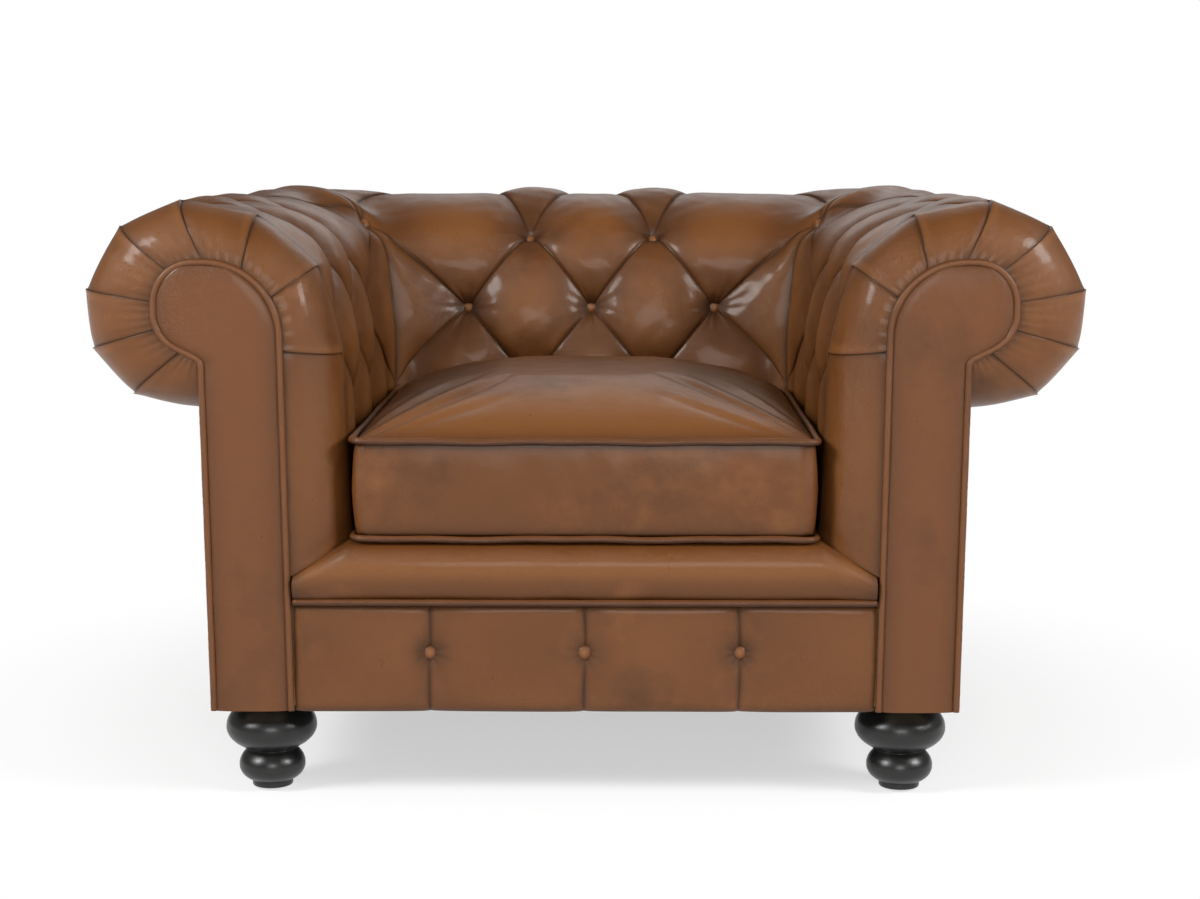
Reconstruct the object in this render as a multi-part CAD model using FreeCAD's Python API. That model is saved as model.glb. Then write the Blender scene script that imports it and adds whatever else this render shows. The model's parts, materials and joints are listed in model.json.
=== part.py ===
"""Chesterfield armchair: timber frame, springs, stuffing, tufted leather, loose cushion and turned feet.

Millimetres, +Z up, origin on the floor under the middle of the chair's bounding box. The sitter faces -Y,
and +X is to the right of someone who looks at the front. The arms and the back share one cross-section.
Its points are written as (n, z): n is measured outward from the inner face of the arm or the back, z is
the height. A third measure, t, runs along an arm, forward from the inner corner, or along the back.
"""
import FreeCAD, Part
import math
import os

# Overall layout
inner_half_width = 284.0
seat_depth = 600.0
nose_proud = 6.0
roll_reach = 316.0
frame_bottom_z = 112.0
rail_top_z = 240.0
deck_top_z = 315.7
clearance = 0.3

# Front face: facing of the scroll board and the pleated band round it
facing_inner_n = 70.0
facing_outer_n = 163.0
post_lean = 6.0
scroll_neck_z = 536.0
scroll_top_z = 652.0
scroll_head_inner_n = 77.0
roll_past_scroll = 92.0
scroll_inner_radius = 88.0
scroll_outer_radius = 50.0
scroll_chin_radius = 45.0
scroll_neck_radius = 12.0
scroll_chin_z = 564.0
facing_thickness = 8.0
board_thickness = 22.0
board_inset = 2.0
piping_radius = 4.25
band_run = 70.0
band_edge = 4.0
band_seam_outer_z = 315.0
band_seam_inner_z = 274.0

# Tufting
button_row_z = [446.0, 558.0, 671.0]
back_button_pitch = 180.0
arm_first_button = 118.0
arm_last_button_gap = 58.0
arm_front_depth = 2.0
tuft_depth = 26.0
seat_width = 16.0
corner_seat_width = 18.0
arch_steepness = 0.24
cover_bottom_z = 304.0
leather = 1.5
button_radius = 10.0
button_dome = 5.0
button_rim = 1.4
button_lift = 4.0
corner_button_lift = 14.0
button_tip = 0.9
button_tip_radius = 3.0
raised_button_tip = 1.2
raised_button_tip_radius = 1.5

# Timber
post_width = 52.0
post_inner_n = 112.0
rail_thickness = 28.0
arm_rail_bottom_z = 584.0
arm_rail_height = 32.0
roll_past_rail = 94.0
tack_rail_height = 40.0
webbing_thickness = 2.0
webbing_width = 50.0
webbing_bottom_n = 62.0
webbing_rise_n = 39.0
webbing_rise_z = 300.0
webbing_count = 5
block_leg = 98.0
block_height = 40.0
block_screw_radius = 2.5
block_screw_length = 34.0

# Seat
spring_count = 5
spring_pitch_x = 120.0
spring_wire = 4.0
spring_half_width = 24.0
spring_turn_pitch = 22.0
border_depth = 90.0
border_foot_setback = 9.0
border_shoulder_setback = 30.0
nose_low_proud = 2.5
nose_high_setback = 3.5
band_seam_gap = 1.0
panel_pleat_pitch = 186.0
panel_pleat_depth = 7.0
panel_end_depth = 3.0
panel_button_z = 183.0
outside_panel_thickness = 4.0
outside_panel_bottom_z = 110.0
dust_cover_thickness = 1.0

# Cushion
cushion_gap_side = 9.4
cushion_setback = 14.0
cushion_gap_back = 8.0
cushion_seam_low = 8.0
cushion_boxing = 111.0
cushion_crown = 64.0
cushion_edge_crown = 8.0
cushion_side_bulge = 5.0
piping_reach = 3.4
piping_end_reach = 4.6
cushion_wall = 1.5
zip_length = 480.0
zip_width = 20.0
zip_thickness = 1.6
slider_length = 12.0
slider_width = 9.0
slider_thickness = 3.0

# Feet
foot_beside_seat = 104.0
foot_setback = 66.0
foot_base_radius = 25.0
foot_base_height = 10.0
foot_low_bun_radius = 41.0
foot_low_bun_top = 50.0
foot_high_bun_radius = 56.0
foot_high_bun_top = 109.0
foot_waist_radius = 30.0
foot_neck_radius = 34.0
foot_bolt_radius = 4.0
foot_bolt_length = 60.0
glide_radius = 11.0
glide_height = 3.0

# Worked out from the layout
front_y = nose_proud - (nose_proud + seat_depth + roll_reach) / 2
back_y = front_y + seat_depth
board_front_y = front_y + facing_thickness
board_back_y = board_front_y + board_thickness
band_back_y = front_y + band_run
arm_run = back_y - band_back_y
arm_button_step = (arm_run - arm_first_button - arm_last_button_gap) / 4
foot_x = inner_half_width + foot_beside_seat
scroll_head_outer_n = roll_reach - roll_past_scroll
arm_rail_outer_n = roll_reach - roll_past_rail


def vec(x, y, z):
    return FreeCAD.Vector(x, y, z)


def lean_n(z):
    """Outer face of the arm and back below the roll, which leans outward with height."""
    share = (z - frame_bottom_z) / (scroll_neck_z - frame_bottom_z)
    return facing_outer_n + post_lean * share


def webbing_n(z):
    """Inner line of the stuffing, where it lies on the webbing."""
    return webbing_bottom_n + webbing_rise_n * (z - cover_bottom_z) / webbing_rise_z


def arm_point(side, n, z, t):
    return vec(side * (inner_half_width + n), back_y - t, z)


def back_point(n, z, t):
    return vec(t, back_y + n, z)


def line(a, b):
    return Part.LineSegment(a, b).toShape()


def arc(a, middle, b):
    return Part.Arc(a, middle, b).toShape()


def polygon(points):
    return Part.makePolygon(points + [points[0]])


def ruled(wires):
    return Part.makeLoft(wires, True, True)


def box(x0, x1, y0, y1, z0, z1):
    return Part.makeBox(x1 - x0, y1 - y0, z1 - z0, vec(x0, y0, z0))


def rounded_path(points, radii, closed):
    """Straight runs joined by tangent arcs; a radius of 0 leaves the corner sharp."""
    count = len(points)
    edges = []
    start = None
    first = None
    for i in range(count):
        here = points[i]
        sharp = radii[i] == 0 or (not closed and i in (0, count - 1))
        if sharp:
            before = after = here
        else:
            to_last = (points[i - 1] - here).normalize()
            to_next = (points[(i + 1) % count] - here).normalize()
            half_angle = to_last.getAngle(to_next) / 2
            reach = radii[i] / math.tan(half_angle)
            before = here + to_last * reach
            after = here + to_next * reach
            middle_way = (to_last + to_next).normalize()
            middle = here + middle_way * (radii[i] / math.sin(half_angle) - radii[i])
        if start is not None:
            edges.append(line(start, before))
        else:
            first = before
        if not sharp:
            edges.append(arc(before, middle, after))
        start = after
    if closed:
        edges.append(line(start, first))
    return Part.Wire(edges)


def tube(path, radius):
    """A round cord along a tangent path."""
    start = path.Vertexes[0].Point
    edge = path.Edges[0]
    direction = edge.tangentAt(edge.FirstParameter)
    circle = Part.Wire(Part.Circle(start, direction, radius).toShape())
    return path.makePipeShell([circle], True, False)


def offset_points(points, distance):
    """Moves each corner of an open outline sideways, to the left of its run, and keeps the sides parallel."""
    moved = []
    last = len(points) - 1
    for i, (n, z) in enumerate(points):
        normals = []
        for a, b in ((i - 1, i), (i, i + 1)):
            if a < 0 or b > last:
                continue
            run_n = points[b][0] - points[a][0]
            run_z = points[b][1] - points[a][1]
            length = math.hypot(run_n, run_z)
            normals.append((-run_z / length, run_n / length))
        mean_n = sum(normal[0] for normal in normals) / len(normals)
        mean_z = sum(normal[1] for normal in normals) / len(normals)
        squared = mean_n ** 2 + mean_z ** 2
        moved.append((n + distance * mean_n / squared, z + distance * mean_z / squared))
    return moved


def scroll_outline(distance):
    """Corners of the arm front's flat outline, moved outward by distance, with the radius of each."""
    corners = [
        (facing_inner_n, frame_bottom_z),
        (scroll_head_inner_n, scroll_top_z),
        (scroll_head_outer_n, scroll_top_z),
        (scroll_head_outer_n, scroll_chin_z),
        (lean_n(scroll_neck_z), scroll_neck_z),
        (facing_outer_n, frame_bottom_z),
    ]
    round_out = [scroll_inner_radius, scroll_outer_radius, scroll_chin_radius]
    radii = [0] + [radius + distance for radius in round_out] + [scroll_neck_radius - distance, 0]
    return offset_points(corners, distance), radii


def scroll_plate(side, distance, y0, y1):
    outline, radii = scroll_outline(distance)
    points = [vec(side * (inner_half_width + n), y0, z) for n, z in outline]
    face = Part.Face(rounded_path(points, radii, True))
    return face.extrude(vec(0, y1 - y0, 0))


def arm_bar(side, outline, y0, y1):
    points = [vec(side * (inner_half_width + n), y0, z) for n, z in outline]
    return Part.Face(polygon(points)).extrude(vec(0, y1 - y0, 0))


def back_bar(outline, x0, x1):
    points = [vec(x0, back_y + n, z) for n, z in outline]
    return Part.Face(polygon(points)).extrude(vec(x1 - x0, 0, 0))


def mitre_plan(corners):
    """Upright prism over a plan outline, taller than the chair."""
    return Part.Face(polygon([vec(x, y, 0) for x, y in corners])).extrude(vec(0, 0, 2 * scroll_top_z))


def arm_prism(side, outline, y_front):
    """A length of the arm from y_front to the mitre at the inner corner, with a straight-sided section."""
    beyond = 2 * roll_reach
    near = side * inner_half_width
    far = side * (inner_half_width + beyond)
    plan = mitre_plan([(near, y_front), (far, y_front), (far, back_y + beyond), (near, back_y)])
    return arm_bar(side, outline, y_front, back_y + beyond).common(plan)


def back_prism(outline):
    """The whole length of the back between its two mitres."""
    beyond = 2 * roll_reach
    far = inner_half_width + beyond
    plan = mitre_plan([
        (-inner_half_width, back_y),
        (inner_half_width, back_y),
        (far, back_y + beyond),
        (-far, back_y + beyond),
    ])
    return back_bar(outline, -far, far).common(plan)


# Timber frame
post_face = outside_panel_thickness + clearance
post_x = inner_half_width + post_inner_n
front_rail_back_y = board_back_y + rail_thickness
low_rail_inner_n = lean_n(frame_bottom_z) - post_face - rail_thickness
back_rail_front_y = back_y + low_rail_inner_n
foot_from_rail = foot_setback - facing_thickness - board_thickness - rail_thickness


def foot_centres():
    """Front left, front right, back left, back right."""
    front = front_y + foot_setback
    rear = back_rail_front_y - foot_from_rail
    return [(-foot_x, front), (foot_x, front), (-foot_x, rear), (foot_x, rear)]


def screw_places():
    """Start on the rail's face, and the way from the block into the rail."""
    places = []
    for y, way in ((front_rail_back_y, -1), (back_rail_front_y, 1)):
        for side in (-1, 1):
            for share in (0.5, 0.75):
                places.append((side * (post_x - share * block_leg), y, way))
    return places


def screw_shape(place, radius, length, into_rail):
    x, y, way = place
    z = frame_bottom_z + block_height / 2
    start = vec(x, y + way * into_rail, z)
    return Part.makeCylinder(radius, length, start, vec(0, -way, 0))


def drilled(rail):
    for place in screw_places():
        half = block_screw_length / 2
        deep = half + clearance
        rail = rail.cut(screw_shape(place, block_screw_radius + clearance, deep, deep))
    return rail


def front_rail():
    rail = box(-post_x, post_x, board_back_y, front_rail_back_y, frame_bottom_z, rail_top_z)
    return drilled(rail)


def low_rail_outline():
    return [
        (low_rail_inner_n, frame_bottom_z),
        (low_rail_inner_n, rail_top_z),
        (lean_n(rail_top_z) - post_face, rail_top_z),
        (lean_n(frame_bottom_z) - post_face, frame_bottom_z),
    ]


def back_rail():
    return drilled(back_bar(low_rail_outline(), -post_x, post_x))


def side_rail(side):
    return arm_bar(side, low_rail_outline(), board_back_y + post_width, back_y + post_inner_n)


def front_post(side):
    outline = [
        (post_inner_n, frame_bottom_z),
        (post_inner_n, arm_rail_bottom_z),
        (lean_n(arm_rail_bottom_z) - post_face, arm_rail_bottom_z),
        (lean_n(frame_bottom_z) - post_face, frame_bottom_z),
    ]
    return arm_bar(side, outline, board_back_y, board_back_y + post_width)


def back_post(side):
    wires = []
    for z in (frame_bottom_z, arm_rail_bottom_z):
        near = post_inner_n
        far = lean_n(z) - post_face
        corners = ((near, near), (far, near), (far, far), (near, far))
        wires.append(polygon([vec(side * (inner_half_width + a), back_y + b, z) for a, b in corners]))
    return ruled(wires)


def scroll_board(side):
    return scroll_plate(side, -board_inset, board_front_y, board_back_y)


def top_rail_outline():
    behind_webbing = webbing_thickness + 2 * clearance
    top_z = arm_rail_bottom_z + arm_rail_height
    return [
        (webbing_n(arm_rail_bottom_z) + behind_webbing, arm_rail_bottom_z),
        (webbing_n(top_z) + behind_webbing, top_z),
        (arm_rail_outer_n, top_z),
        (arm_rail_outer_n, arm_rail_bottom_z),
    ]


def tack_rail_outline():
    behind_webbing = webbing_thickness + 2 * clearance
    top_z = cover_bottom_z + tack_rail_height
    return [
        (webbing_n(cover_bottom_z) + behind_webbing, cover_bottom_z),
        (webbing_n(top_z) + behind_webbing, top_z),
        (post_inner_n, top_z),
        (post_inner_n, cover_bottom_z),
    ]


def corner_blocks():
    """Glue blocks in the four corners of the seat frame, drilled for the foot bolts and the screws."""
    solids = []
    for y, way in ((front_rail_back_y, 1), (back_rail_front_y, -1)):
        for side in (-1, 1):
            points = [
                vec(side * post_x, y, frame_bottom_z),
                vec(side * (post_x - block_leg), y, frame_bottom_z),
                vec(side * post_x, y + way * block_leg, frame_bottom_z),
            ]
            block = Part.Face(polygon(points)).extrude(vec(0, 0, block_height))
            for place in screw_places():
                block = block.cut(screw_shape(place, block_screw_radius + clearance, 2 * block_leg, 0))
            for x, foot_y in foot_centres():
                hole = foot_bolt_radius + clearance
                block = block.cut(Part.makeCylinder(hole, block_height, vec(x, foot_y, frame_bottom_z)))
            solids.append(block)
    return Part.makeCompound(solids)


def corner_block_screws():
    half = block_screw_length / 2
    return Part.makeCompound(
        [screw_shape(place, block_screw_radius, block_screw_length, half) for place in screw_places()])


# Suspension
spring_z = rail_top_z + 3.0
spring_front_y = board_back_y + rail_thickness / 2
spring_back_y = back_rail_front_y + rail_thickness / 2
spring_columns = [spring_pitch_x * (i - (spring_count - 1) / 2) for i in range(spring_count)]
clip_half_x = 10.0
clip_half_y = 6.0
clip_height = 7.0


def sinuous_spring(x):
    """Wire that runs across, turns back and so works its way from the front rail to the back rail."""
    turns = round((spring_back_y - spring_front_y) / spring_turn_pitch)
    pitch = (spring_back_y - spring_front_y) / turns
    straight = spring_half_width - pitch / 2
    edges = []
    for i in range(turns + 1):
        y = spring_front_y + i * pitch
        way = 1 if i % 2 == 0 else -1
        end = vec(x + way * straight, y, spring_z)
        edges.append(line(vec(x - way * straight, y, spring_z), end))
        if i < turns:
            turn = vec(x + way * spring_half_width, y + pitch / 2, spring_z)
            edges.append(arc(end, turn, vec(x + way * straight, y + pitch, spring_z)))
    return tube(Part.Wire(edges), spring_wire / 2)


def seat_springs():
    return Part.makeCompound([sinuous_spring(x) for x in spring_columns])


def spring_clips():
    solids = []
    for x in spring_columns:
        for y in (spring_front_y, spring_back_y):
            clip = box(x - clip_half_x, x + clip_half_x, y - clip_half_y, y + clip_half_y,
                       rail_top_z, rail_top_z + clip_height)
            bore = Part.makeCylinder(spring_wire / 2 + clearance, 2 * clip_half_x,
                                     vec(x - clip_half_x, y, spring_z), vec(1, 0, 0))
            solids.append(clip.cut(bore))
    return Part.makeCompound(solids)


def webbing_outline():
    top_z = arm_rail_bottom_z + arm_rail_height
    low = webbing_n(cover_bottom_z) + clearance
    high = webbing_n(top_z) + clearance
    return [
        (low, cover_bottom_z),
        (high, top_z),
        (high + webbing_thickness, top_z),
        (low + webbing_thickness, cover_bottom_z),
    ]


def arm_webbing(side):
    solids = []
    for i in range(webbing_count):
        t = arm_run * (i + 0.5) / webbing_count
        y = back_y - t
        solids.append(arm_bar(side, webbing_outline(), y - webbing_width / 2, y + webbing_width / 2))
    return Part.makeCompound(solids)


def back_webbing():
    solids = []
    for i in range(webbing_count):
        x = 2 * inner_half_width * ((i + 0.5) / webbing_count - 0.5)
        solids.append(back_bar(webbing_outline(), x - webbing_width / 2, x + webbing_width / 2))
    return Part.makeCompound(solids)


def seat_deck():
    return box(-inner_half_width, inner_half_width, front_y + border_depth + clearance, back_y,
               spring_z + spring_wire / 2 + clearance, deck_top_z)


# Tufted stuffing and leather of the arms and the back
class Station:
    """One line of the cover along the arm or back: where its crowns and its backing lie in the section.

    Pleat share says where the pleats cross it: 0 at the corners and halfway between the buttons of the
    middle row, 1 at the buttons of the middle row, and in between where they run from one to the other.
    """

    def __init__(self, outer, inner, depth, corner_depth, pleat_share):
        self.outer = outer
        self.inner = inner
        self.depth = depth
        self.corner_depth = corner_depth
        self.pleat_share = pleat_share
        run_n = inner[0] - outer[0]
        run_z = inner[1] - outer[1]
        length = math.hypot(run_n, run_z)
        self.way = (run_n / length, run_z / length)

    def at(self, depth):
        return self.outer[0] + self.way[0] * depth, self.outer[1] + self.way[1] * depth


row_3_z, row_2_z, row_1_z = button_row_z
rail_crest_z = arm_rail_bottom_z + arm_rail_height + 5.0
webbing_end_z = arm_rail_bottom_z + arm_rail_height + 2.0
stations = [
    Station((14.0, cover_bottom_z), (webbing_n(cover_bottom_z), cover_bottom_z), 6.0, -4.0, 0.0),
    Station((4.0, row_3_z), (webbing_n(row_3_z), row_3_z), tuft_depth, -3.0, 0.0),
    Station((11.0, row_2_z), (webbing_n(row_2_z), row_2_z), tuft_depth, -8.0, 1.0),
    Station((50.0, row_1_z), (webbing_n(webbing_end_z), webbing_end_z), tuft_depth, -20.0, 0.0),
    Station((118.0, 712.0), (112.0, rail_crest_z), 15.0, -12.0, 0.27),
    Station((199.0, 726.0), (190.0, rail_crest_z), 13.0, 4.0, 0.62),
    Station((roll_reach - 44.0, 694.0), (arm_rail_outer_n + 2.0, rail_crest_z), 12.0, 14.0, 1.0),
    Station((roll_reach, 618.0), (arm_rail_outer_n + 8.0, 612.0), 7.0, 20.0, 1.0),
    Station((roll_reach - 7.0, 547.0), (arm_rail_outer_n + 6.0, 581.0), 6.0, 16.0, 1.0),
    Station((roll_reach - 55.0, 491.0), (arm_rail_outer_n - 17.0, 580.0), 5.0, 10.0, 1.0),
    Station((182.0, 467.0), (182.0, 532.0), 3.0, 3.0, 1.0),
]


def between_mitre_and_band(n):
    """Crossings along an arm, at 0 pleat share and at 1."""
    half = seat_width / 2
    steps = [arm_first_button + i * arm_button_step for i in range(5)]
    apart = [-n, -n + corner_seat_width]
    for t in (steps[1], steps[3]):
        apart += [t - half, t + half]
    apart += [arm_run - half, arm_run]
    joined = [-n]
    for t in (steps[0], steps[2], steps[4]):
        joined += [t - half, t + half]
    return apart, joined + [arm_run]


def between_mitres(n):
    """Crossings along the back, at 0 pleat share and at 1."""
    half = seat_width / 2
    end = inner_half_width + n
    apart = [-end, -end + corner_seat_width]
    for side in (-1, 1):
        apart += [side * back_button_pitch / 2 - half, side * back_button_pitch / 2 + half]
    apart += [end - corner_seat_width, end]
    joined = [-end]
    for side in (-1, 0, 1):
        joined += [side * back_button_pitch - half, side * back_button_pitch + half]
    return apart, joined + [end]


def crossing_depths(station, mitred_far_end):
    """Depth of the leather at each crossing, at 0 pleat share and at 1."""
    corner = station.corner_depth
    far = corner if mitred_far_end else arm_front_depth
    apart = [corner, corner] + 4 * [station.depth] + [far, far]
    joined = [corner] + 6 * [station.depth] + [far]
    return apart, joined


def arch_depth(depth0, depth1):
    """Depth halfway along an arch between two depths, so that its highest point reaches the crown line."""
    crown = 0.5 * min(0.0, depth0, depth1)
    mean = (depth0 + depth1) / 2
    rise = (mean - crown + math.sqrt(max(0.0, (depth0 - crown) * (depth1 - crown)))) / 2
    return mean - rise


def chain(station, offset, crossings, place):
    """Edges of one line of leather: flat seats under the buttons, arched between them."""
    on_back = crossings is between_mitres
    share = station.pleat_share
    located = []
    for i in range(8):
        depth_apart, depth_joined = (depths[i] for depths in crossing_depths(station, on_back))
        depth = depth_apart + (depth_joined - depth_apart) * share
        n, z = station.at(depth + offset)
        t_apart, t_joined = (places[i] for places in crossings(n))
        located.append((n, z, t_apart + (t_joined - t_apart) * share, depth))
    edges = []
    for i in range(7):
        n0, z0, t0, depth0 = located[i]
        n1, z1, t1, depth1 = located[i + 1]
        a = place(n0, z0, t0)
        b = place(n1, z1, t1)
        if share == i % 2:
            edges.append(line(a, b))
            continue
        steepest = (depth0 + depth1) / 2 - arch_steepness * abs(t1 - t0)
        n, z = station.at(max(arch_depth(depth0, depth1), steepest) + offset)
        edges.append(arc(a, place(n, z, (t0 + t1) / 2), b))
    return edges


def tufted_solid(crossings, place, near, far):
    """Stuffing or leather between two depths. A far depth of None is the backing line of each station."""
    wires = []
    for station in stations:
        outer = chain(station, near, crossings, place)
        first = outer[0].Vertexes[0].Point
        last = outer[-1].Vertexes[-1].Point
        if far is None:
            n, z = station.inner
            ends = crossings(n)[0]
            low = place(n, z, ends[0])
            high = place(n, z, ends[-1])
            inner = [line(high, low)]
        else:
            edges = chain(station, far, crossings, place)
            low = edges[0].Vertexes[0].Point
            high = edges[-1].Vertexes[-1].Point
            inner = edges[::-1]
        wires.append(Part.Wire(outer + [line(last, high)] + inner + [line(low, first)]))
    return ruled(wires)


def arm_place(side):
    return lambda n, z, t: arm_point(side, n, z, t)


def arm_cover(side):
    return tufted_solid(between_mitre_and_band, arm_place(side), 0.0, leather)


def arm_filling(side):
    return tufted_solid(between_mitre_and_band, arm_place(side), leather + clearance, None)


def back_cover():
    return tufted_solid(between_mitres, back_point, 0.0, leather)


def back_filling():
    return tufted_solid(between_mitres, back_point, leather + clearance, None)


# Buttons
def button(point, outward, lift):
    """A leather-covered button: tapered back, short rim and domed face, drawn into the leather."""
    raised = lift > button_lift
    tip = raised_button_tip if raised else button_tip
    tip_radius = raised_button_tip_radius if raised else button_tip_radius
    rim = lift + button_rim
    top = rim + button_dome
    sphere = (button_radius ** 2 + button_dome ** 2) / (2 * button_dome)
    half_angle = math.asin(button_radius / sphere) / 2
    dome_side = vec(sphere * math.sin(half_angle), 0, top - sphere * (1 - math.cos(half_angle)))
    edges = [
        line(vec(0, 0, tip), vec(tip_radius, 0, tip)),
        line(vec(tip_radius, 0, tip), vec(button_radius, 0, lift)),
        line(vec(button_radius, 0, lift), vec(button_radius, 0, rim)),
        arc(vec(button_radius, 0, rim), dome_side, vec(0, 0, top)),
        line(vec(0, 0, top), vec(0, 0, tip)),
    ]
    shape = Part.Face(Part.Wire(edges)).revolve(vec(0, 0, 0), vec(0, 0, 1), 360)
    turn = FreeCAD.Rotation(vec(0, 0, 1), outward)
    shape.Placement = FreeCAD.Placement(point, turn)
    return shape


button_stations = stations[1:4]


def arm_buttons(side):
    solids = []
    for station in button_stations:
        steps = (0, 2, 4) if station.pleat_share else (1, 3)
        n, z = station.at(station.depth)
        outward = vec(-side * station.way[0], 0, -station.way[1])
        for step in steps:
            t = arm_first_button + step * arm_button_step
            solids.append(button(arm_point(side, n, z, t), outward, button_lift))
    return Part.makeCompound(solids)


def back_buttons():
    """The buttons of the back, with the two that pin the inner corners."""
    solids = []
    for station in button_stations:
        n, z = station.at(station.depth)
        outward = vec(0, -station.way[0], -station.way[1])
        for x in ((-1, 0, 1) if station.pleat_share else (-0.5, 0.5)):
            solids.append(button(back_point(n, z, x * back_button_pitch), outward, button_lift))
    corner = button_stations[-1]
    n, z = corner.at(corner.corner_depth)
    for side in (-1, 1):
        outward = vec(-side * corner.way[0], -corner.way[0], -corner.way[1] * math.sqrt(2))
        point = arm_point(side, n, z, -n)
        solids.append(button(point, outward.normalize(), corner_button_lift))
    return Part.makeCompound(solids)


# Pleated band: each pleat runs from the edge of the facing out to the full roll
band_pleats = [
    ((facing_inner_n, band_seam_inner_z), (0.0, band_seam_outer_z)),
    ((77.0, 548.0), (12.0, 540.0)),
    ((89.0, 609.0), (42.0, 645.0)),
    ((120.0, 641.0), (109.0, 705.0)),
    ((164.0, scroll_top_z), (200.0, 723.0)),
    ((scroll_head_outer_n - 18.0, 641.0), (roll_reach - 43.0, 692.0)),
    ((scroll_head_outer_n, 605.0), (roll_reach, 617.0)),
    ((scroll_head_outer_n - 3.0, 572.0), (roll_reach - 6.0, 546.0)),
    ((scroll_head_outer_n - 33.0, 547.0), (roll_reach - 54.0, 490.0)),
    ((lean_n(scroll_neck_z) + 4.0, scroll_neck_z + 2.0), (186.0, 467.0)),
]
band_start = 1.0
band_clear_of_piping = 11.8


def band_edges():
    """Inner line, visible start line and full outline of the band, pleat by pleat."""
    inner = offset_points([facing for facing, roll in band_pleats], band_clear_of_piping)
    start = offset_points([facing for facing, roll in band_pleats], band_clear_of_piping + band_edge)
    full = [roll for facing, roll in band_pleats]
    return inner, start, full


def pleated_band(side):
    inner, start, full = band_edges()
    wires = []
    for angle in (0, 30, 60, 90):
        swell = math.sin(math.radians(angle))
        y = front_y + band_start + (band_run - band_start) * (1 - math.cos(math.radians(angle)))
        outer = [(a[0] + (b[0] - a[0]) * swell, a[1] + (b[1] - a[1]) * swell) for a, b in zip(start, full)]
        outline = inner + outer[::-1]
        wires.append(polygon([vec(side * (inner_half_width + n), y, z) for n, z in outline]))
    return ruled(wires)


def arm_facing(side):
    return scroll_plate(side, -(piping_radius + clearance), front_y, board_front_y - clearance)


def facing_piping(side):
    outline, radii = scroll_outline(0.0)
    y = board_front_y - piping_radius - clearance
    return tube(rounded_path([vec(side * (inner_half_width + n), y, z) for n, z in outline], radii, False),
                piping_radius)


# Outside panels
def outside_panel_outline():
    low = outside_panel_bottom_z
    return [
        (lean_n(low) - outside_panel_thickness, low),
        (lean_n(low), low),
        (lean_n(scroll_neck_z), scroll_neck_z),
        (lean_n(scroll_neck_z) - outside_panel_thickness, scroll_neck_z),
    ]


# Front border, rail panel and the piping between them
panel_half_width = inner_half_width + facing_inner_n - piping_radius - clearance
border_bottom_z = rail_top_z + clip_height + 1.0
border_piping_z = rail_top_z + 5.0
border_piping_y = front_y + 2.0


def border_profile(inset):
    """Section of the rounded nose under the cushion, as a face across the chair's middle."""
    bottom = border_bottom_z
    top = deck_top_z - inset
    height = deck_top_z - border_bottom_z
    rear_y = front_y + border_depth
    foot = vec(0, front_y + border_foot_setback + inset, bottom)
    low_bend = vec(0, front_y - nose_low_proud + inset, bottom + 0.2 * height)
    swell = vec(0, front_y - nose_proud + inset, bottom + 0.47 * height)
    high_bend = vec(0, front_y + nose_high_setback + 0.7 * inset, bottom + 0.84 * height - 0.7 * inset)
    shoulder = vec(0, front_y + border_shoulder_setback, top)
    heel = vec(0, rear_y, top)
    back = vec(0, rear_y, bottom)
    edges = [
        arc(foot, low_bend, swell),
        arc(swell, high_bend, shoulder),
        line(shoulder, heel),
        line(heel, back),
        line(back, foot),
    ]
    return Part.Face(Part.Wire(edges))


def border_solid(inset):
    solid = border_profile(inset).extrude(vec(2 * panel_half_width, 0, 0))
    solid.translate(vec(-panel_half_width, 0, 0))
    return solid


def cleared_for_bands(solid):
    """Cuts the ends of the border to lie under the lower seams of the two bands."""
    inner, start, full = band_edges()
    beyond = 20.0
    seam = [(n, z - band_seam_gap) for n, z in (inner[0], start[0], full[0])]
    over = full[0][1] + beyond
    corners = seam + [(full[0][0], over), (inner[0][0] + beyond, over), (inner[0][0] + beyond, seam[0][1])]
    for side in (-1, 1):
        wedge = arm_bar(side, corners, front_y - beyond, front_y + border_depth + beyond)
        solid = solid.cut(wedge)
    return solid


def front_border_cover():
    return cleared_for_bands(border_solid(0.0).cut(border_solid(leather)))


def front_border_pad():
    return cleared_for_bands(border_solid(leather + clearance))


def front_rail_piping():
    return Part.makeCylinder(piping_radius, 2 * panel_half_width,
                             vec(-panel_half_width, border_piping_y, border_piping_z), vec(1, 0, 0))


def front_rail_panel():
    """Padded panel over the front rail, drawn in along three upright pleats."""
    back = board_back_y - clearance
    half = seat_width / 2
    nodes = [(-panel_half_width, panel_end_depth)]
    for i in (-1, 0, 1):
        x = i * panel_pleat_pitch
        nodes += [(x - half, panel_pleat_depth), (x + half, panel_pleat_depth)]
    nodes.append((panel_half_width, panel_end_depth))
    edges = []
    for i in range(len(nodes) - 1):
        (x0, depth0), (x1, depth1) = nodes[i], nodes[i + 1]
        a = vec(x0, front_y + depth0, frame_bottom_z)
        b = vec(x1, front_y + depth1, frame_bottom_z)
        if i % 2 == 1:
            edges.append(line(a, b))
        else:
            edges.append(arc(a, vec((x0 + x1) / 2, front_y + arch_depth(depth0, depth1), frame_bottom_z), b))
    right = vec(panel_half_width, back, frame_bottom_z)
    left = vec(-panel_half_width, back, frame_bottom_z)
    edges += [line(b, right), line(right, left), line(left, edges[0].Vertexes[0].Point)]
    height = border_piping_z - piping_radius - clearance - frame_bottom_z
    return Part.Face(Part.Wire(edges)).extrude(vec(0, 0, height))


def front_rail_buttons():
    y = front_y + panel_pleat_depth
    places = [vec(i * panel_pleat_pitch, y, panel_button_z) for i in (-1, 0, 1)]
    return Part.makeCompound([button(place, vec(0, -1, 0), button_lift) for place in places])


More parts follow.
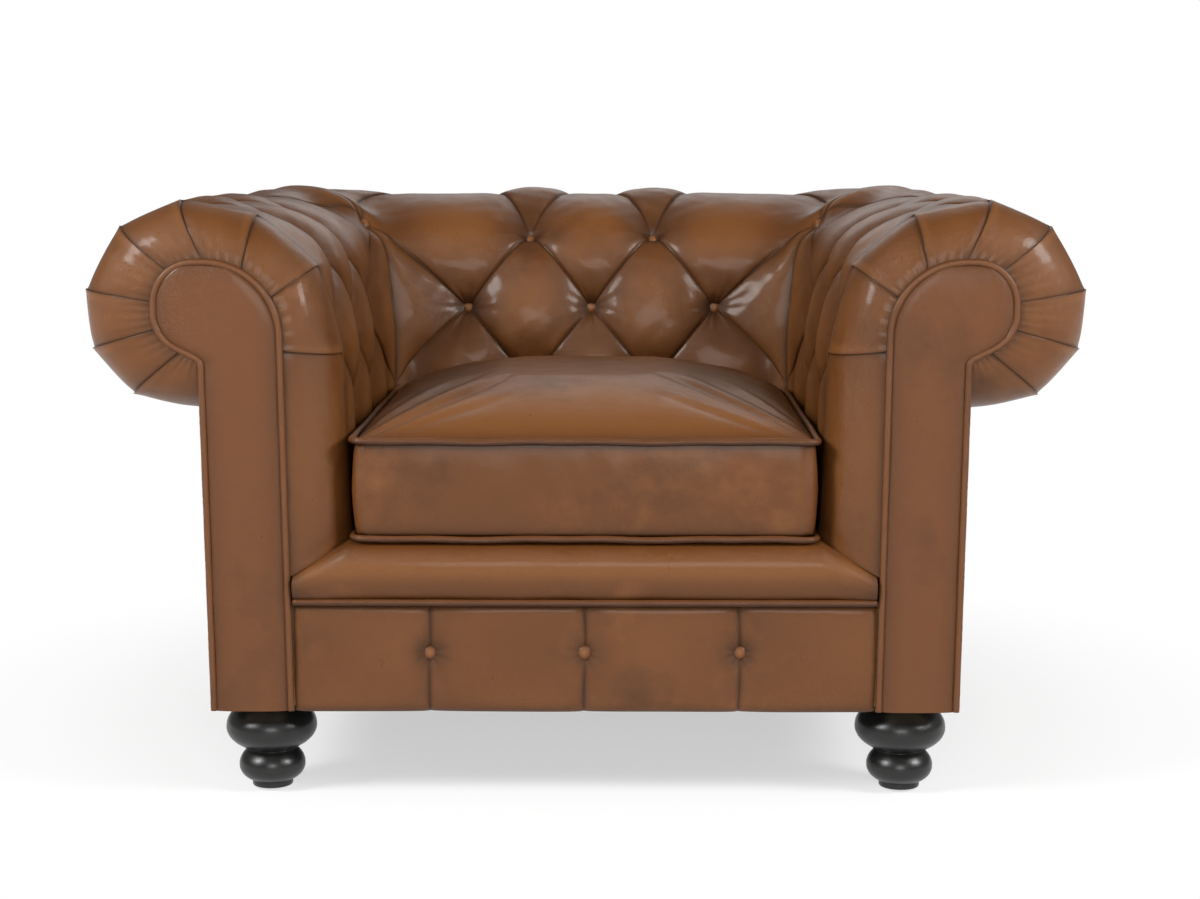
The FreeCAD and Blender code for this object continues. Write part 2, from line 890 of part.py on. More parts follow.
def dust_cover():
    """Cloth under the frame, cut round the necks of the feet."""
    top = frame_bottom_z - clearance
    rear = back_y + lean_n(frame_bottom_z) - post_face
    reach = inner_half_width + lean_n(frame_bottom_z) - post_face
    cloth = box(-reach, reach, board_back_y, rear, top - dust_cover_thickness, top)
    for x, y in foot_centres():
        cloth = cloth.cut(Part.makeCylinder(foot_neck_radius + 1.0, 10.0, vec(x, y, top - 5.0)))
    return cloth


# Loose seat cushion
cushion_half_x = inner_half_width - cushion_gap_side
cushion_front_y = front_y + cushion_setback
cushion_back_y = back_y - cushion_gap_back
cushion_bottom_z = deck_top_z + clearance
cushion_low_z = cushion_bottom_z + cushion_seam_low
cushion_high_z = cushion_low_z + cushion_boxing
crown_shares = [(-1.0, 0.0), (-0.7, 0.76), (0.0, 1.0), (0.7, 0.76), (1.0, 0.0)]


def cushion_solid(inset):
    """Box cushion with a crowned top, bulged boxing and a slightly rounded underside."""
    front = cushion_front_y + inset
    back = cushion_back_y - inset
    low = cushion_low_z + inset
    high = cushion_high_z - inset
    middle_y = (front + back) / 2
    middle_z = (low + high) / 2
    wires = []
    for along, share in crown_shares:
        x = along * (cushion_half_x - inset)
        crown = cushion_edge_crown + (cushion_crown - cushion_edge_crown) * share
        wires.append(Part.Wire([
            arc(vec(x, front, low), vec(x, middle_y, cushion_bottom_z + inset), vec(x, back, low)),
            arc(vec(x, back, low), vec(x, back + cushion_side_bulge, middle_z), vec(x, back, high)),
            arc(vec(x, back, high), vec(x, middle_y, high + crown), vec(x, front, high)),
            arc(vec(x, front, high), vec(x, front - cushion_side_bulge, middle_z), vec(x, front, low)),
        ]))
    return Part.makeLoft(wires, True, False)


def cushion_cover():
    return cushion_solid(0.0).cut(cushion_solid(cushion_wall))


def cushion_core():
    return cushion_solid(cushion_wall + clearance)


def cushion_piping(z):
    """Piping round the cushion, just outside the seam at height z."""
    x = cushion_half_x + piping_end_reach
    front = cushion_front_y - piping_reach
    back = cushion_back_y + piping_reach
    radius = piping_radius + clearance
    plan = [(0, back), (x, back), (x, front), (-x, front), (-x, back), (0, back)]
    corners = [vec(a, b, z) for a, b in plan]
    path = rounded_path(corners, [0, radius, radius, radius, radius, 0], False)
    return tube(path, piping_radius)


def cushion_top_piping():
    return cushion_piping(cushion_high_z + piping_reach)


def cushion_bottom_piping():
    return cushion_piping(cushion_low_z - piping_reach)


zip_front_y = cushion_back_y + cushion_side_bulge + clearance
zip_back_y = zip_front_y + zip_thickness
zip_z = (cushion_low_z + cushion_high_z) / 2


def cushion_zip():
    half_length = zip_length / 2
    half_width = zip_width / 2
    return box(-half_length, half_length, zip_front_y, zip_back_y, zip_z - half_width, zip_z + half_width)


def cushion_zip_slider():
    """Slider at the closed end of the zip, with its pull hanging down."""
    x = zip_length / 2 - slider_length
    y = zip_back_y + clearance
    half = slider_width / 2
    body = box(x, x + slider_length, y, y + slider_thickness, zip_z - half, zip_z + half)
    middle = x + slider_length / 2
    pull = box(middle - half / 2, middle + half / 2, y, y + slider_thickness / 2,
               zip_z - 3 * slider_width, zip_z - half)
    return body.fuse(pull).removeSplitter()


# Feet
def foot(centre):
    """Turned foot: small base, a low bun, a wide bun above it and a neck under the frame."""
    low_middle = (foot_base_height + foot_low_bun_top) / 2
    high_middle = (foot_low_bun_top + foot_high_bun_top) / 2
    edges = [
        line(vec(0, 0, glide_height), vec(foot_base_radius, 0, glide_height)),
        line(vec(foot_base_radius, 0, glide_height), vec(foot_base_radius, 0, foot_base_height)),
        arc(vec(foot_base_radius, 0, foot_base_height), vec(foot_low_bun_radius, 0, low_middle),
            vec(foot_waist_radius, 0, foot_low_bun_top)),
        arc(vec(foot_waist_radius, 0, foot_low_bun_top), vec(foot_high_bun_radius, 0, high_middle),
            vec(foot_neck_radius, 0, foot_high_bun_top)),
        line(vec(foot_neck_radius, 0, foot_high_bun_top), vec(foot_neck_radius, 0, frame_bottom_z)),
        line(vec(foot_neck_radius, 0, frame_bottom_z), vec(0, 0, frame_bottom_z)),
        line(vec(0, 0, frame_bottom_z), vec(0, 0, glide_height)),
    ]
    shape = Part.Face(Part.Wire(edges)).revolve(vec(0, 0, 0), vec(0, 0, 1), 360)
    bore_start = frame_bottom_z - foot_bolt_length / 2
    bore_radius = foot_bolt_radius + clearance
    shape = shape.cut(Part.makeCylinder(bore_radius, foot_bolt_length, vec(0, 0, bore_start)))
    shape.translate(vec(centre[0], centre[1], 0))
    return shape


def foot_bolts():
    start = frame_bottom_z - foot_bolt_length / 2
    return Part.makeCompound(
        [Part.makeCylinder(foot_bolt_radius, foot_bolt_length, vec(x, y, start)) for x, y in foot_centres()])


def foot_glides():
    return Part.makeCompound(
        [Part.makeCylinder(glide_radius, glide_height, vec(x, y, 0)) for x, y in foot_centres()])


# Names and shapes of all the pieces
def pieces():
    named = {
        "front_rail": front_rail(),
        "back_rail": back_rail(),
        "corner_blocks": corner_blocks(),
        "corner_block_screws": corner_block_screws(),
        "back_top_rail": back_prism(top_rail_outline()),
        "back_tack_rail": back_prism(tack_rail_outline()),
        "seat_springs": seat_springs(),
        "spring_clips": spring_clips(),
        "back_webbing": back_webbing(),
        "seat_deck": seat_deck(),
        "back_filling": back_filling(),
        "back_cover": back_cover(),
        "back_buttons": back_buttons(),
        "outside_back_panel": back_prism(outside_panel_outline()),
        "front_border_pad": front_border_pad(),
        "front_border_cover": front_border_cover(),
        "front_rail_panel": front_rail_panel(),
        "front_rail_piping": front_rail_piping(),
        "front_rail_buttons": front_rail_buttons(),
        "dust_cover": dust_cover(),
        "cushion_cover": cushion_cover(),
        "cushion_core": cushion_core(),
        "cushion_top_piping": cushion_top_piping(),
        "cushion_bottom_piping": cushion_bottom_piping(),
        "cushion_zip": cushion_zip(),
        "cushion_zip_slider": cushion_zip_slider(),
        "foot_bolts": foot_bolts(),
        "foot_glides": foot_glides(),
    }
    for name, side in (("left", -1), ("right", 1)):
        named[name + "_side_rail"] = side_rail(side)
        named[name + "_front_post"] = front_post(side)
        named[name + "_back_post"] = back_post(side)
        named[name + "_scroll_board"] = scroll_board(side)
        named[name + "_arm_top_rail"] = arm_prism(side, top_rail_outline(), board_back_y)
        named[name + "_arm_tack_rail"] = arm_prism(side, tack_rail_outline(), board_back_y)
        named[name + "_arm_webbing"] = arm_webbing(side)
        named[name + "_arm_filling"] = arm_filling(side)
        named[name + "_arm_cover"] = arm_cover(side)
        named[name + "_arm_buttons"] = arm_buttons(side)
        named[name + "_pleated_band"] = pleated_band(side)
        named[name + "_arm_facing"] = arm_facing(side)
        named[name + "_facing_piping"] = facing_piping(side)
        panel_front_y = board_back_y + clearance
        named["outside_" + name + "_arm_panel"] = arm_prism(side, outside_panel_outline(), panel_front_y)
    for name, centre in zip(("front_left", "front_right", "back_left", "back_right"), foot_centres()):
        named[name + "_foot"] = foot(centre)
    return named


os.makedirs("parts", exist_ok=True)
for node, shape in pieces().items():
    box_of_shape = shape.BoundBox
    shape.exportStep("parts/" + node + ".step")
    print(node, len(shape.Solids), "solids, valid", shape.isValid(), "volume", round(shape.Volume),
          "size", round(box_of_shape.XLength, 1), round(box_of_shape.YLength, 1), round(box_of_shape.ZLength, 1))
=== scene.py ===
import json
import math

import bmesh
import bpy
import numpy as np
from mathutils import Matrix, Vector


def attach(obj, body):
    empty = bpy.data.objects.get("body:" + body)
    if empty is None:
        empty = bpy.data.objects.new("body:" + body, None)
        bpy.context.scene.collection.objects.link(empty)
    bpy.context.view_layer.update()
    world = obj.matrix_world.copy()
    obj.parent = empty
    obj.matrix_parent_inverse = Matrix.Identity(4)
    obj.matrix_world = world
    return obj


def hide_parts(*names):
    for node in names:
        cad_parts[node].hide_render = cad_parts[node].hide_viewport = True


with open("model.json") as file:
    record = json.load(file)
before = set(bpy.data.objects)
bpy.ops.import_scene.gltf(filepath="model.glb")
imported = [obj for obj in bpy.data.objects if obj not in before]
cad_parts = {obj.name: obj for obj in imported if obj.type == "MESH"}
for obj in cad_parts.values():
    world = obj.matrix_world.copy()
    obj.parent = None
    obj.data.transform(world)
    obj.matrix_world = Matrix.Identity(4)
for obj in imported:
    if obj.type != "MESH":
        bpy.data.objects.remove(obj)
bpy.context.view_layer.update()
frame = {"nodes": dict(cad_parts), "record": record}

nodes = frame["nodes"]

# ---- Room
# A pale floor under a white surround, soft lamps, and a camera at the photograph's height and distance.
# The floor and the surround show white to the camera and in reflections, and still take the chair's shadow.
scene = bpy.context.scene
scene.view_settings.view_transform = "Standard"


def plain_material(name):
    """A new material with nodes; gives the material, its node tree and its Principled shader."""
    material = bpy.data.materials.new(name)
    material.use_nodes = True
    return material, material.node_tree, material.node_tree.nodes["Principled BSDF"]


def feed(tree, node, inputs):
    """Fills inputs of a node by name or number: an output socket is linked, any other value is set."""
    for key, value in inputs.items():
        if isinstance(value, bpy.types.NodeSocket):
            tree.links.new(value, node.inputs[key])
        else:
            node.inputs[key].default_value = value


def add(tree, kind, inputs=None, **settings):
    """A new shader node of a kind, with its settings made before its inputs are filled."""
    node = tree.nodes.new("ShaderNode" + kind)
    for name, value in settings.items():
        setattr(node, name, value)
    feed(tree, node, inputs or {})
    return node


def object_place(tree):
    """The surface's place in the object's own coordinates."""
    return add(tree, "TexCoord").outputs["Object"]


def noise(tree, place, scale, detail=2.0, rough=0.5):
    inputs = {"Scale": scale, "Detail": detail, "Roughness": rough, "Vector": place}
    return add(tree, "TexNoise", inputs).outputs["Fac"]


def span(tree, value, low, high, to_low=0.0, to_high=1.0):
    """A value carried from one range into another."""
    inputs = {"Value": value, "From Min": low, "From Max": high, "To Min": to_low, "To Max": to_high}
    return add(tree, "MapRange", inputs).outputs[0]


def maths(tree, kind, a, b):
    return add(tree, "Math", {0: a, 1: b}, operation=kind).outputs[0]


def mixed(tree, share, first, second):
    return add(tree, "Mix", {"Factor": share, "A": first, "B": second}, data_type="RGBA").outputs["Result"]


def bumped(tree, height, strength, distance):
    """Normal of a surface raised by height."""
    return add(tree, "Bump", {"Strength": strength, "Distance": distance, "Height": height}).outputs["Normal"]


white = (1, 1, 1, 1)
floor_half = 30
floor_mesh = bpy.data.meshes.new("floor")
corners = [(x * floor_half, y * floor_half, 0) for x, y in ((-1, -1), (1, -1), (1, 1), (-1, 1))]
floor_mesh.from_pydata(corners, [], [(0, 1, 2, 3)])
floor = bpy.data.objects.new("floor", floor_mesh)
scene.collection.objects.link(floor)
floor_paint, tree, shader = plain_material("floor_paint")
feed(tree, shader, {"Base Color": (0.93, 0.93, 0.93, 1), "Roughness": 0.9})
away = add(tree, "VectorMath", {0: object_place(tree)}, operation="LENGTH").outputs["Value"]
far = add(tree, "MapRange", {"Value": away, "From Min": 0.3, "From Max": 1.1, "To Min": 0.55},
          interpolation_type="SMOOTHSTEP").outputs[0]
rays = add(tree, "LightPath").outputs
seen = rays["Is Camera Ray"]
for kind in ("Is Glossy Ray", "Is Transmission Ray"):
    seen = maths(tree, "MAXIMUM", seen, rays[kind])
share = maths(tree, "MULTIPLY", seen, far)
glow = add(tree, "Emission").outputs[0]
whiten = add(tree, "MixShader", {0: share, 1: shader.outputs[0], 2: glow}).outputs[0]
feed(tree, tree.nodes["Material Output"], {"Surface": whiten})
floor_mesh.materials.append(floor_paint)

world = bpy.data.worlds.new("studio")
scene.world = world
world.use_nodes = True
tree = world.node_tree
background = tree.nodes["Background"]
feed(tree, background, {"Color": white, "Strength": 0.2})
rays = add(tree, "LightPath").outputs
seen = maths(tree, "MAXIMUM", rays["Is Camera Ray"], rays["Is Transmission Ray"])
surround = add(tree, "Background", {"Color": white, "Strength": 1.0}).outputs[0]
blend = add(tree, "MixShader", {0: seen, 1: background.outputs[0], 2: surround}).outputs[0]
feed(tree, tree.nodes["World Output"], {"Surface": blend})
chair_middle = Vector((0, 0, 0.4))


def soft_lamp(name, place, size, power):
    """A rectangular area lamp at place that faces the middle of the chair."""
    data = bpy.data.lights.new(name, "AREA")
    data.shape = "RECTANGLE"
    data.size, data.size_y = size
    data.energy = power
    lamp = bpy.data.objects.new(name, data)
    lamp.location = place
    lamp.rotation_euler = (chair_middle - Vector(place)).to_track_quat("-Z", "Y").to_euler()
    scene.collection.objects.link(lamp)


soft_lamp("left_softbox", (-2.6, -1.9, 2.2), (1.0, 1.1), 104)
soft_lamp("right_softbox", (2.8, -1.6, 2.1), (1.0, 1.1), 96)
soft_lamp("front_fill", (0.2, -4.4, 1.3), (1.6, 1.2), 52)
soft_lamp("back_softbox", (0.4, 3.2, 2.2), (2.4, 1.6), 13)

camera_data = bpy.data.cameras.new("camera")
camera_data.sensor_width = 36
camera_data.lens = 66
camera = bpy.data.objects.new("camera", camera_data)
camera.location = (0.042, -3.035, 0.789)
look_down, look_left = 7.9, 0.52
camera.rotation_euler = (math.radians(90 - look_down), 0, math.radians(look_left))
scene.collection.objects.link(camera)
scene.camera = camera

# ---- Leather
# Antiqued cowhide, hand rubbed: a warm brown face, darker in every fold, pit, seam and recess, where the
# antique patina is joined by painted shade, and paler on raised and lit parts, where rubbing wear is joined by
# painted highlight. The fine grain, the small crazing and the drifting tone are shared by all the leather
# pieces.


def node_group(name, colors, floats, results):
    """A node group with named sockets; gives the group, its input values and its result node."""
    group = bpy.data.node_groups.new(name, "ShaderNodeTree")
    for label in colors:
        group.interface.new_socket(name=label, in_out="INPUT", socket_type="NodeSocketColor")
    for label, value in floats.items():
        made = group.interface.new_socket(name=label, in_out="INPUT", socket_type="NodeSocketFloat")
        made.default_value = value
    for label in results:
        kind = "NodeSocketColor" if label == "Color" else "NodeSocketFloat"
        group.interface.new_socket(name=label, in_out="OUTPUT", socket_type=kind)
    return group, group.nodes.new("NodeGroupInput").outputs, group.nodes.new("NodeGroupOutput")


def leather_group():
    """Colour, roughness and height of antiqued hide: a base colour, a paler one for wear and painted highlight,
    a darker one for patina and painted shade.
    """
    group, given, result = node_group(
        "antiqued_hide", ("Base", "Wear And Highlight", "Patina And Shade"), {"Drift": 0.5, "Grain Size": 900.0},
        ("Color", "Roughness", "Height"))
    place = object_place(group)

    def patches(scale, detail, rough, low, high, to_low=0.0, to_high=1.0):
        """Noise carried from one range into another."""
        return span(group, noise(group, place, scale, detail, rough), low, high, to_low, to_high)

    def times(a, b):
        return maths(group, "MULTIPLY", a, b)

    def plus(a, b):
        return maths(group, "ADD", a, b)

    def mask(name):
        return add(group, "Attribute", attribute_name=name).outputs["Fac"]

    def cracks(scale, at, width):
        """Rises from 0 on the edges of a cell pattern to 1."""
        cells = add(group, "TexVoronoi", {"Scale": scale, "Vector": at}, feature="DISTANCE_TO_EDGE")
        return span(group, cells.outputs["Distance"], 0.0, width)

    drift = times(patches(5.0, 4.0, 0.55, 0.42, 0.68), given["Drift"])
    worn = times(times(patches(17.0, 5.0, 0.6, 0.45, 0.75), drift), 0.8)
    # Paler tone: the per-vertex mask gives painted highlight on raised and lit parts together with rubbing wear;
    # the noise patches are real wear.
    color = mixed(group, maths(group, "MAXIMUM", mask("wear_and_highlight"), worn), given["Base"], given["Wear And Highlight"])
    # Darker tone: the per-vertex mask gives painted shade in creases, pits, seams and recesses together with the
    # patina there; the noise patches are real tone.
    dark = maths(group, "MAXIMUM", mask("shade_and_patina"), times(patches(8.0, 5.0, 0.6, 0.56, 0.8), 0.55))
    dark = maths(group, "MINIMUM", plus(dark, times(patches(60.0, 3.0, 0.6, 0.5, 0.8, 0.0, 0.5), 0.12)), 1.0)
    stray = add(group, "TexNoise", {"Scale": 45.0, "Vector": place}).outputs["Color"]
    small = add(group, "VectorMath", {0: stray, "Scale": 0.012}, operation="SCALE").outputs[0]
    bent = add(group, "VectorMath", {0: place, 1: small}, operation="ADD").outputs[0]
    lines = times(cracks(160.0, bent, 0.06), patches(12.0, 2.0, 0.5, 0.4, 0.65))
    height = plus(times(cracks(given["Grain Size"], place, 0.25), 0.25), times(lines, 0.35))
    height = plus(height, times(noise(group, place, 34.0, 3.0), 2.2))
    height = plus(height, times(noise(group, place, 2600.0), 0.12))
    feed(group, result, {
        "Color": mixed(group, dark, color, given["Patina And Shade"]), "Height": height,
        "Roughness": plus(patches(22.0, 4.0, 0.6, 0.3, 0.75, 0.27, 0.42), times(dark, 0.12))})
    return group


hide_group = leather_group()


def hide_material(name, drift, base, wear_and_highlight_color, patina_and_shade_color):
    """A leather finish that takes its own three colours through the shared hide group."""
    material, tree, shader = plain_material(name)
    colors = {"Base": (*base, 1), "Wear And Highlight": (*wear_and_highlight_color, 1), "Patina And Shade": (*patina_and_shade_color, 1), "Drift": drift}
    hide = add(tree, "Group", colors, node_tree=hide_group).outputs
    feed(tree, shader, {
        "Base Color": hide["Color"], "Roughness": hide["Roughness"],
        "Normal": bumped(tree, hide["Height"], 0.55, 0.0009), "Specular IOR Level": 0.3,
        "Specular Tint": (1.0, 0.88, 0.78, 1), "Coat Weight": 0.14, "Coat Roughness": 0.17})
    return material


# Each leather: a base colour, a paler colour for wear and painted highlight, and a darker colour for patina and
# painted shade.
brown_hide = hide_material(
    "brown_hide", 0.9, (0.108, 0.036, 0.0082), (0.22, 0.083, 0.022), (0.014, 0.0046, 0.0018))
facing_hide = hide_material(
    "facing_hide", 0.7, (0.108, 0.036, 0.0095), (0.17, 0.063, 0.019), (0.034, 0.011, 0.004))
welt_hide = hide_material(
    "welt_hide", 0.6, (0.062, 0.019, 0.005), (0.16, 0.058, 0.018), (0.014, 0.0045, 0.0018))
button_hide = hide_material(
    "button_hide", 0.4, (0.105, 0.034, 0.009), (0.23, 0.09, 0.026), (0.028, 0.009, 0.003))

# ---- Arms and back
# Stuffing of hair and wadding on webbing under one hide each, drawn down with twine at every button; the slack
# between the buttons is folded into pleats that open downwards. The hides meet in a seam at each inner corner.
both_sides = ((-1, "left"), (1, "right"))
inner_half = 0.284
back_plane = 0.145
section_n = np.array([14, 4, 11, 50, 118, 199, 272, 316, 309, 261, 186, 172]) / 1000
section_z = np.array([304, 446, 558, 671, 712, 726, 694, 618, 547, 491, 468, 474]) / 1000
section_pull = np.array([8, 26, 27, 27, 26, 24, 17, 9, 6, 5, 3, 0]) / 1000
section_corner = np.array([-4, -3, -8, -20, -12, 4, 14, 20, 16, 10, 3, 0]) / 1000
row_stations = (1, 2, 3, 6)
crown_drop = np.array([0, 0, 0, 0, 3, 6, 4, 0, 0, 0, 0, 0]) / 1000


def smooth_through(points, count):
    """Cubic Hermite curve through the points, with slopes from the chords beside each of them."""
    points = np.asarray(points, float)
    knots = np.concatenate([[0], np.cumsum(np.linalg.norm(np.diff(points, axis=0), axis=1))])
    slopes = np.gradient(points, knots, axis=0)
    at = np.linspace(0, knots[-1], count)
    i = np.clip(np.searchsorted(knots, at, side="right") - 1, 0, len(knots) - 2)
    gap = (knots[i + 1] - knots[i])[:, None]
    w = (at[:, None] - knots[i][:, None]) / gap
    curve = (
        (2 * w**3 - 3 * w**2 + 1) * points[i] + (w**3 - 2 * w**2 + w) * gap * slopes[i]
        + (3 * w**2 - 2 * w**3) * points[i + 1] + (w**3 - w**2) * gap * slopes[i + 1]
    )
    return curve, at, knots


def at_run(s, run, path):
    """Points of a path at run length s, where run holds the run length of each of its points."""
    return np.stack([np.interp(s, run, path[:, c]) for c in range(path.shape[1])], -1)


def run_length(curve):
    """Length along a dense curve from its first point to each of its points."""
    return np.concatenate([[0], np.cumsum(np.linalg.norm(np.diff(curve, axis=0), axis=1))])


section, section_at, section_knots = smooth_through(np.stack([section_n, section_z], 1), 6000)
section_s = run_length(section)
station_s = np.interp(section_knots, section_at, section_s)
row_s = [station_s[i] for i in row_stations]
# Buttons in half steps from the middle one, with the run length of their row
button_spots = [
    (b, level) for r, level in enumerate(row_s[:3]) for b in ((-1, 1) if r % 2 == 0 else (-2, 0, 2))
]
slope = np.gradient(section, section_s, axis=0)
slope /= np.linalg.norm(slope, axis=1)[:, None]


def on_section(s):
    """Point (n, z) of the padding's outer line at run length s, and its outward normal (-z', n')."""
    point = at_run(s, section_s, section)
    along = at_run(s, section_s, slope)
    return point, np.stack([-along[..., 1], along[..., 0]], -1)


# Where each band pleat ends on the roll; between the pleats the band is nearly flat
pleat_roll = np.array([
    (0, 315), (10, 540), (37, 645), (109, 706), (200, 723),
    (273, 692), (316, 617), (310, 546), (262, 490), (173, 473),
]) / 1000
pleat_s = np.array([section_s[np.argmin(np.linalg.norm(section - p, axis=1))] for p in pleat_roll])
pleat_s[0] = section_s[np.argmin(np.abs(section[:, 1] - pleat_roll[0, 1]))]


def band_line(s):
    """Line (n, z) of the band's back edge at run length s: chords between the pleats with a slight swell."""
    i = np.clip(np.searchsorted(pleat_s, s, side="right") - 1, 0, len(pleat_s) - 2)
    w = ((s - pleat_s[i]) / (pleat_s[i + 1] - pleat_s[i]))[..., None]
    chord = pleat_roll[i] + (pleat_roll[i + 1] - pleat_roll[i]) * w
    curved, _ = on_section(s)
    swell = np.where((i > 0)[..., None], 0.16, 0.0)
    return chord + (curved - chord) * swell * (1 - np.clip(np.abs(2 * w - 1), 0, 1) ** 4)


def pleat_height(turn):
    """Height of the leather beside a pleat: 0 on it, 1 midway, steep above the fold and slow below it."""
    turn = np.mod(turn, 1.0)
    power = 0.34 + 0.3 * turn
    return np.sin(np.pi * turn) ** power, np.sin(np.pi * turn)


grid_step, pleat_steps = 0.0031, 24
dimple_depth, dimple_radius = 0.0065, 0.0125
gather_depth, gather_reach = 0.0007, 0.03
pin_depth, pin_reach = 0.017, 0.024


def tufted_hide(name, replaced, half_step, middle, near_end, far_end, to_space, flip):
    """Leather grid over the section, sunk by pull x (1 - the pleat heights - the distance from the buttons).

    The grid's columns sit on the pleats, which run between the button rows and meet at the buttons. The second
    parameter, a, counts half button steps from the middle one; a = 3 is the seam at the inner corner.
    """
    marks = [0, *row_s, section_s[-1]]
    levels = np.concatenate([
        np.linspace(lo, hi, max(3, int(round((hi - lo) / grid_step))), endpoint=False)
        for lo, hi in zip(marks[:-1], marks[1:])
    ] + [[marks[-1]]])
    share = np.clip((levels - row_s[2]) / (row_s[3] - row_s[2]), 0, 1)
    row = np.interp(levels, row_s[:3], [1, 2, 3]) + share ** 1.25
    whole = np.minimum(np.floor(row + 1e-9), 3)
    part = row - whole
    odd = (whole % 2 == 1)[:, None]
    f = part[:, None]
    rising = np.concatenate([-3 + f, -1 - f, -1 + f, 1 - f, 1 + f, 3 - f], 1)
    falling = np.concatenate([-2 - f, -2 + f, -f, f, 2 - f, 2 + f], 1)
    pleats = np.clip(np.where(odd, rising, falling), near_end, far_end)
    ends = np.ones((len(levels), 1))
    edges = np.concatenate([near_end * ends, pleats, far_end * ends], 1)
    k = np.arange(pleat_steps) / pleat_steps
    spread = 0.35 * k + 0.65 * (1 - np.cos(np.pi * k)) / 2
    a = (edges[:, :-1, None] + (edges[:, 1:] - edges[:, :-1])[:, :, None] * spread).reshape(len(levels), -1)
    a = np.concatenate([a, far_end * ends], 1)
    s = np.broadcast_to(levels[:, None], a.shape)
    row = np.broadcast_to(row[:, None], a.shape)
    point, normal = on_section(s)

    def across(a, n):
        """Distance along the piece from its middle button: even steps, then the last step to the corner seam."""
        if middle is None:
            seam = inner_half + n
            edge = np.sign(a) * (2 * half_step + (np.abs(a) - 2) * (seam - 2 * half_step))
            return np.where(np.abs(a) <= 2, a * half_step, edge)
        seam = middle + n
        return np.where(a <= 2, a * half_step, 2 * half_step + (a - 2) * (seam - 2 * half_step))

    v = across(a, point[..., 0])
    high_a, sharp_a = pleat_height((a + row) / 2)
    high_b, sharp_b = pleat_height(-(a - row) / 2)
    away = np.sqrt((sharp_a**2 + sharp_b**2) / (1 + sharp_a**2 * sharp_b**2 + 1e-12))
    pull = np.interp(s, station_s, section_pull)
    field = pull * (1 - 0.48 * away - 0.52 * high_a * high_b)
    field += np.interp(s, station_s, crown_drop) * (1 + np.cos(np.pi * a)) / 2
    seam_v = (inner_half if middle is None else middle) + point[..., 0]
    to_seam = np.maximum(seam_v - (np.abs(v) if middle is None else v), 0)
    corner = np.interp(s, station_s, section_corner)
    centre_n = on_section(np.array(row_s))[0][:, 0]
    radius = []
    for b, level in button_spots:
        home = across(np.array(float(b)), np.interp(level, row_s, centre_n))
        dv, ds = v - home, s - level
        r = np.hypot(dv, ds)
        field += dimple_depth * np.exp(-(r / dimple_radius) ** 2)
        turn = np.arctan2(ds, dv)
        ray = np.sin(11 * turn + 3 * b + 40 * level) + 0.6 * np.sin(17 * turn - 2 * b)
        field += gather_depth * ray * np.exp(-(r / gather_reach) ** 1.5) * (1 - np.exp(-(r / 0.01) ** 2))
        radius.append(r)
    nearest = np.min(radius, axis=0)
    x, y = v * 21, s * 17
    field += 0.0011 * np.sin(x * 1.3 + 1.7 * np.sin(y)) * np.sin(y * 1.6 + 0.8 * np.sin(x * 0.7))
    field += 0.0004 * np.sin(x * 6.1 + 2 * np.sin(y * 2.3)) * np.sin(y * 7.4 + 1.5 * np.sin(x * 2.1))
    field *= 1 - np.exp(-(to_seam / 0.032) ** 2)
    pin = np.exp(-(((s - row_s[2]) / pin_reach) ** 2 + (to_seam / pin_reach) ** 2))
    depth = field + corner * np.exp(-(to_seam / 0.06) ** 2) + pin_depth * pin
    place = point - normal * depth[..., None]
    if middle is not None:
        to_front = v - near_end * half_step
        hold = np.exp(-(to_front / 0.05) ** 2)[..., None]
        place = place * (1 - hold) + band_line(s) * hold
    v = across(a, place[..., 0])
    xyz = to_space(place[..., 0], place[..., 1], v)
    # Darker along the pleat creases, round the buttons, in the deeper hollows and at the corner seam: painted
    # shade together with the patina that gathers there.
    crease = 0.75 * np.clip(pull / 0.02, 0.3, 1)
    shade_and_patina = np.maximum(np.exp(-sharp_a / 0.035), np.exp(-sharp_b / 0.035)) * crease
    shade_and_patina = np.maximum(shade_and_patina, 0.85 * np.exp(-(nearest / 0.02) ** 2))
    shade_and_patina = np.maximum(shade_and_patina, np.clip(field / 0.026, 0, 1) ** 1.6 * 0.55)
    shade_and_patina = np.maximum(shade_and_patina, 0.75 * np.exp(-to_seam / 0.006))
    # Paler where the leather stands high between the hollows: painted highlight together with rubbing wear.
    wear_and_highlight = np.clip(1 - field / 0.007, 0, 1) * 0.5
    piece = leather_grid(name, xyz, brown_hide, flip, {"shade_and_patina": shade_and_patina, "wear_and_highlight": wear_and_highlight})
    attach(piece, "chair")
    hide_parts(*replaced)

    def surface_at(b, level):
        """Point and outward normal (n, z) of the finished leather at a button."""
        i = np.argmin(np.abs(levels - level))
        j = np.argmin(np.abs(a[i] - b))
        return xyz[i, j], normal[i, j]

    return surface_at


def set_mask(mesh, label, values):
    """One number per vertex, which the leather reads as the share of a tone."""
    mesh.attributes.new(label, "FLOAT", "POINT").data.foreach_set("value", values.ravel().astype(np.float32))


def smooth_shaded(mesh):
    mesh.polygons.foreach_set("use_smooth", np.ones(len(mesh.polygons), bool))


def grid_of(x, y, z):
    """Grid of points out of coordinates that are spread over one another."""
    return np.stack(np.broadcast_arrays(x, y, z), -1)


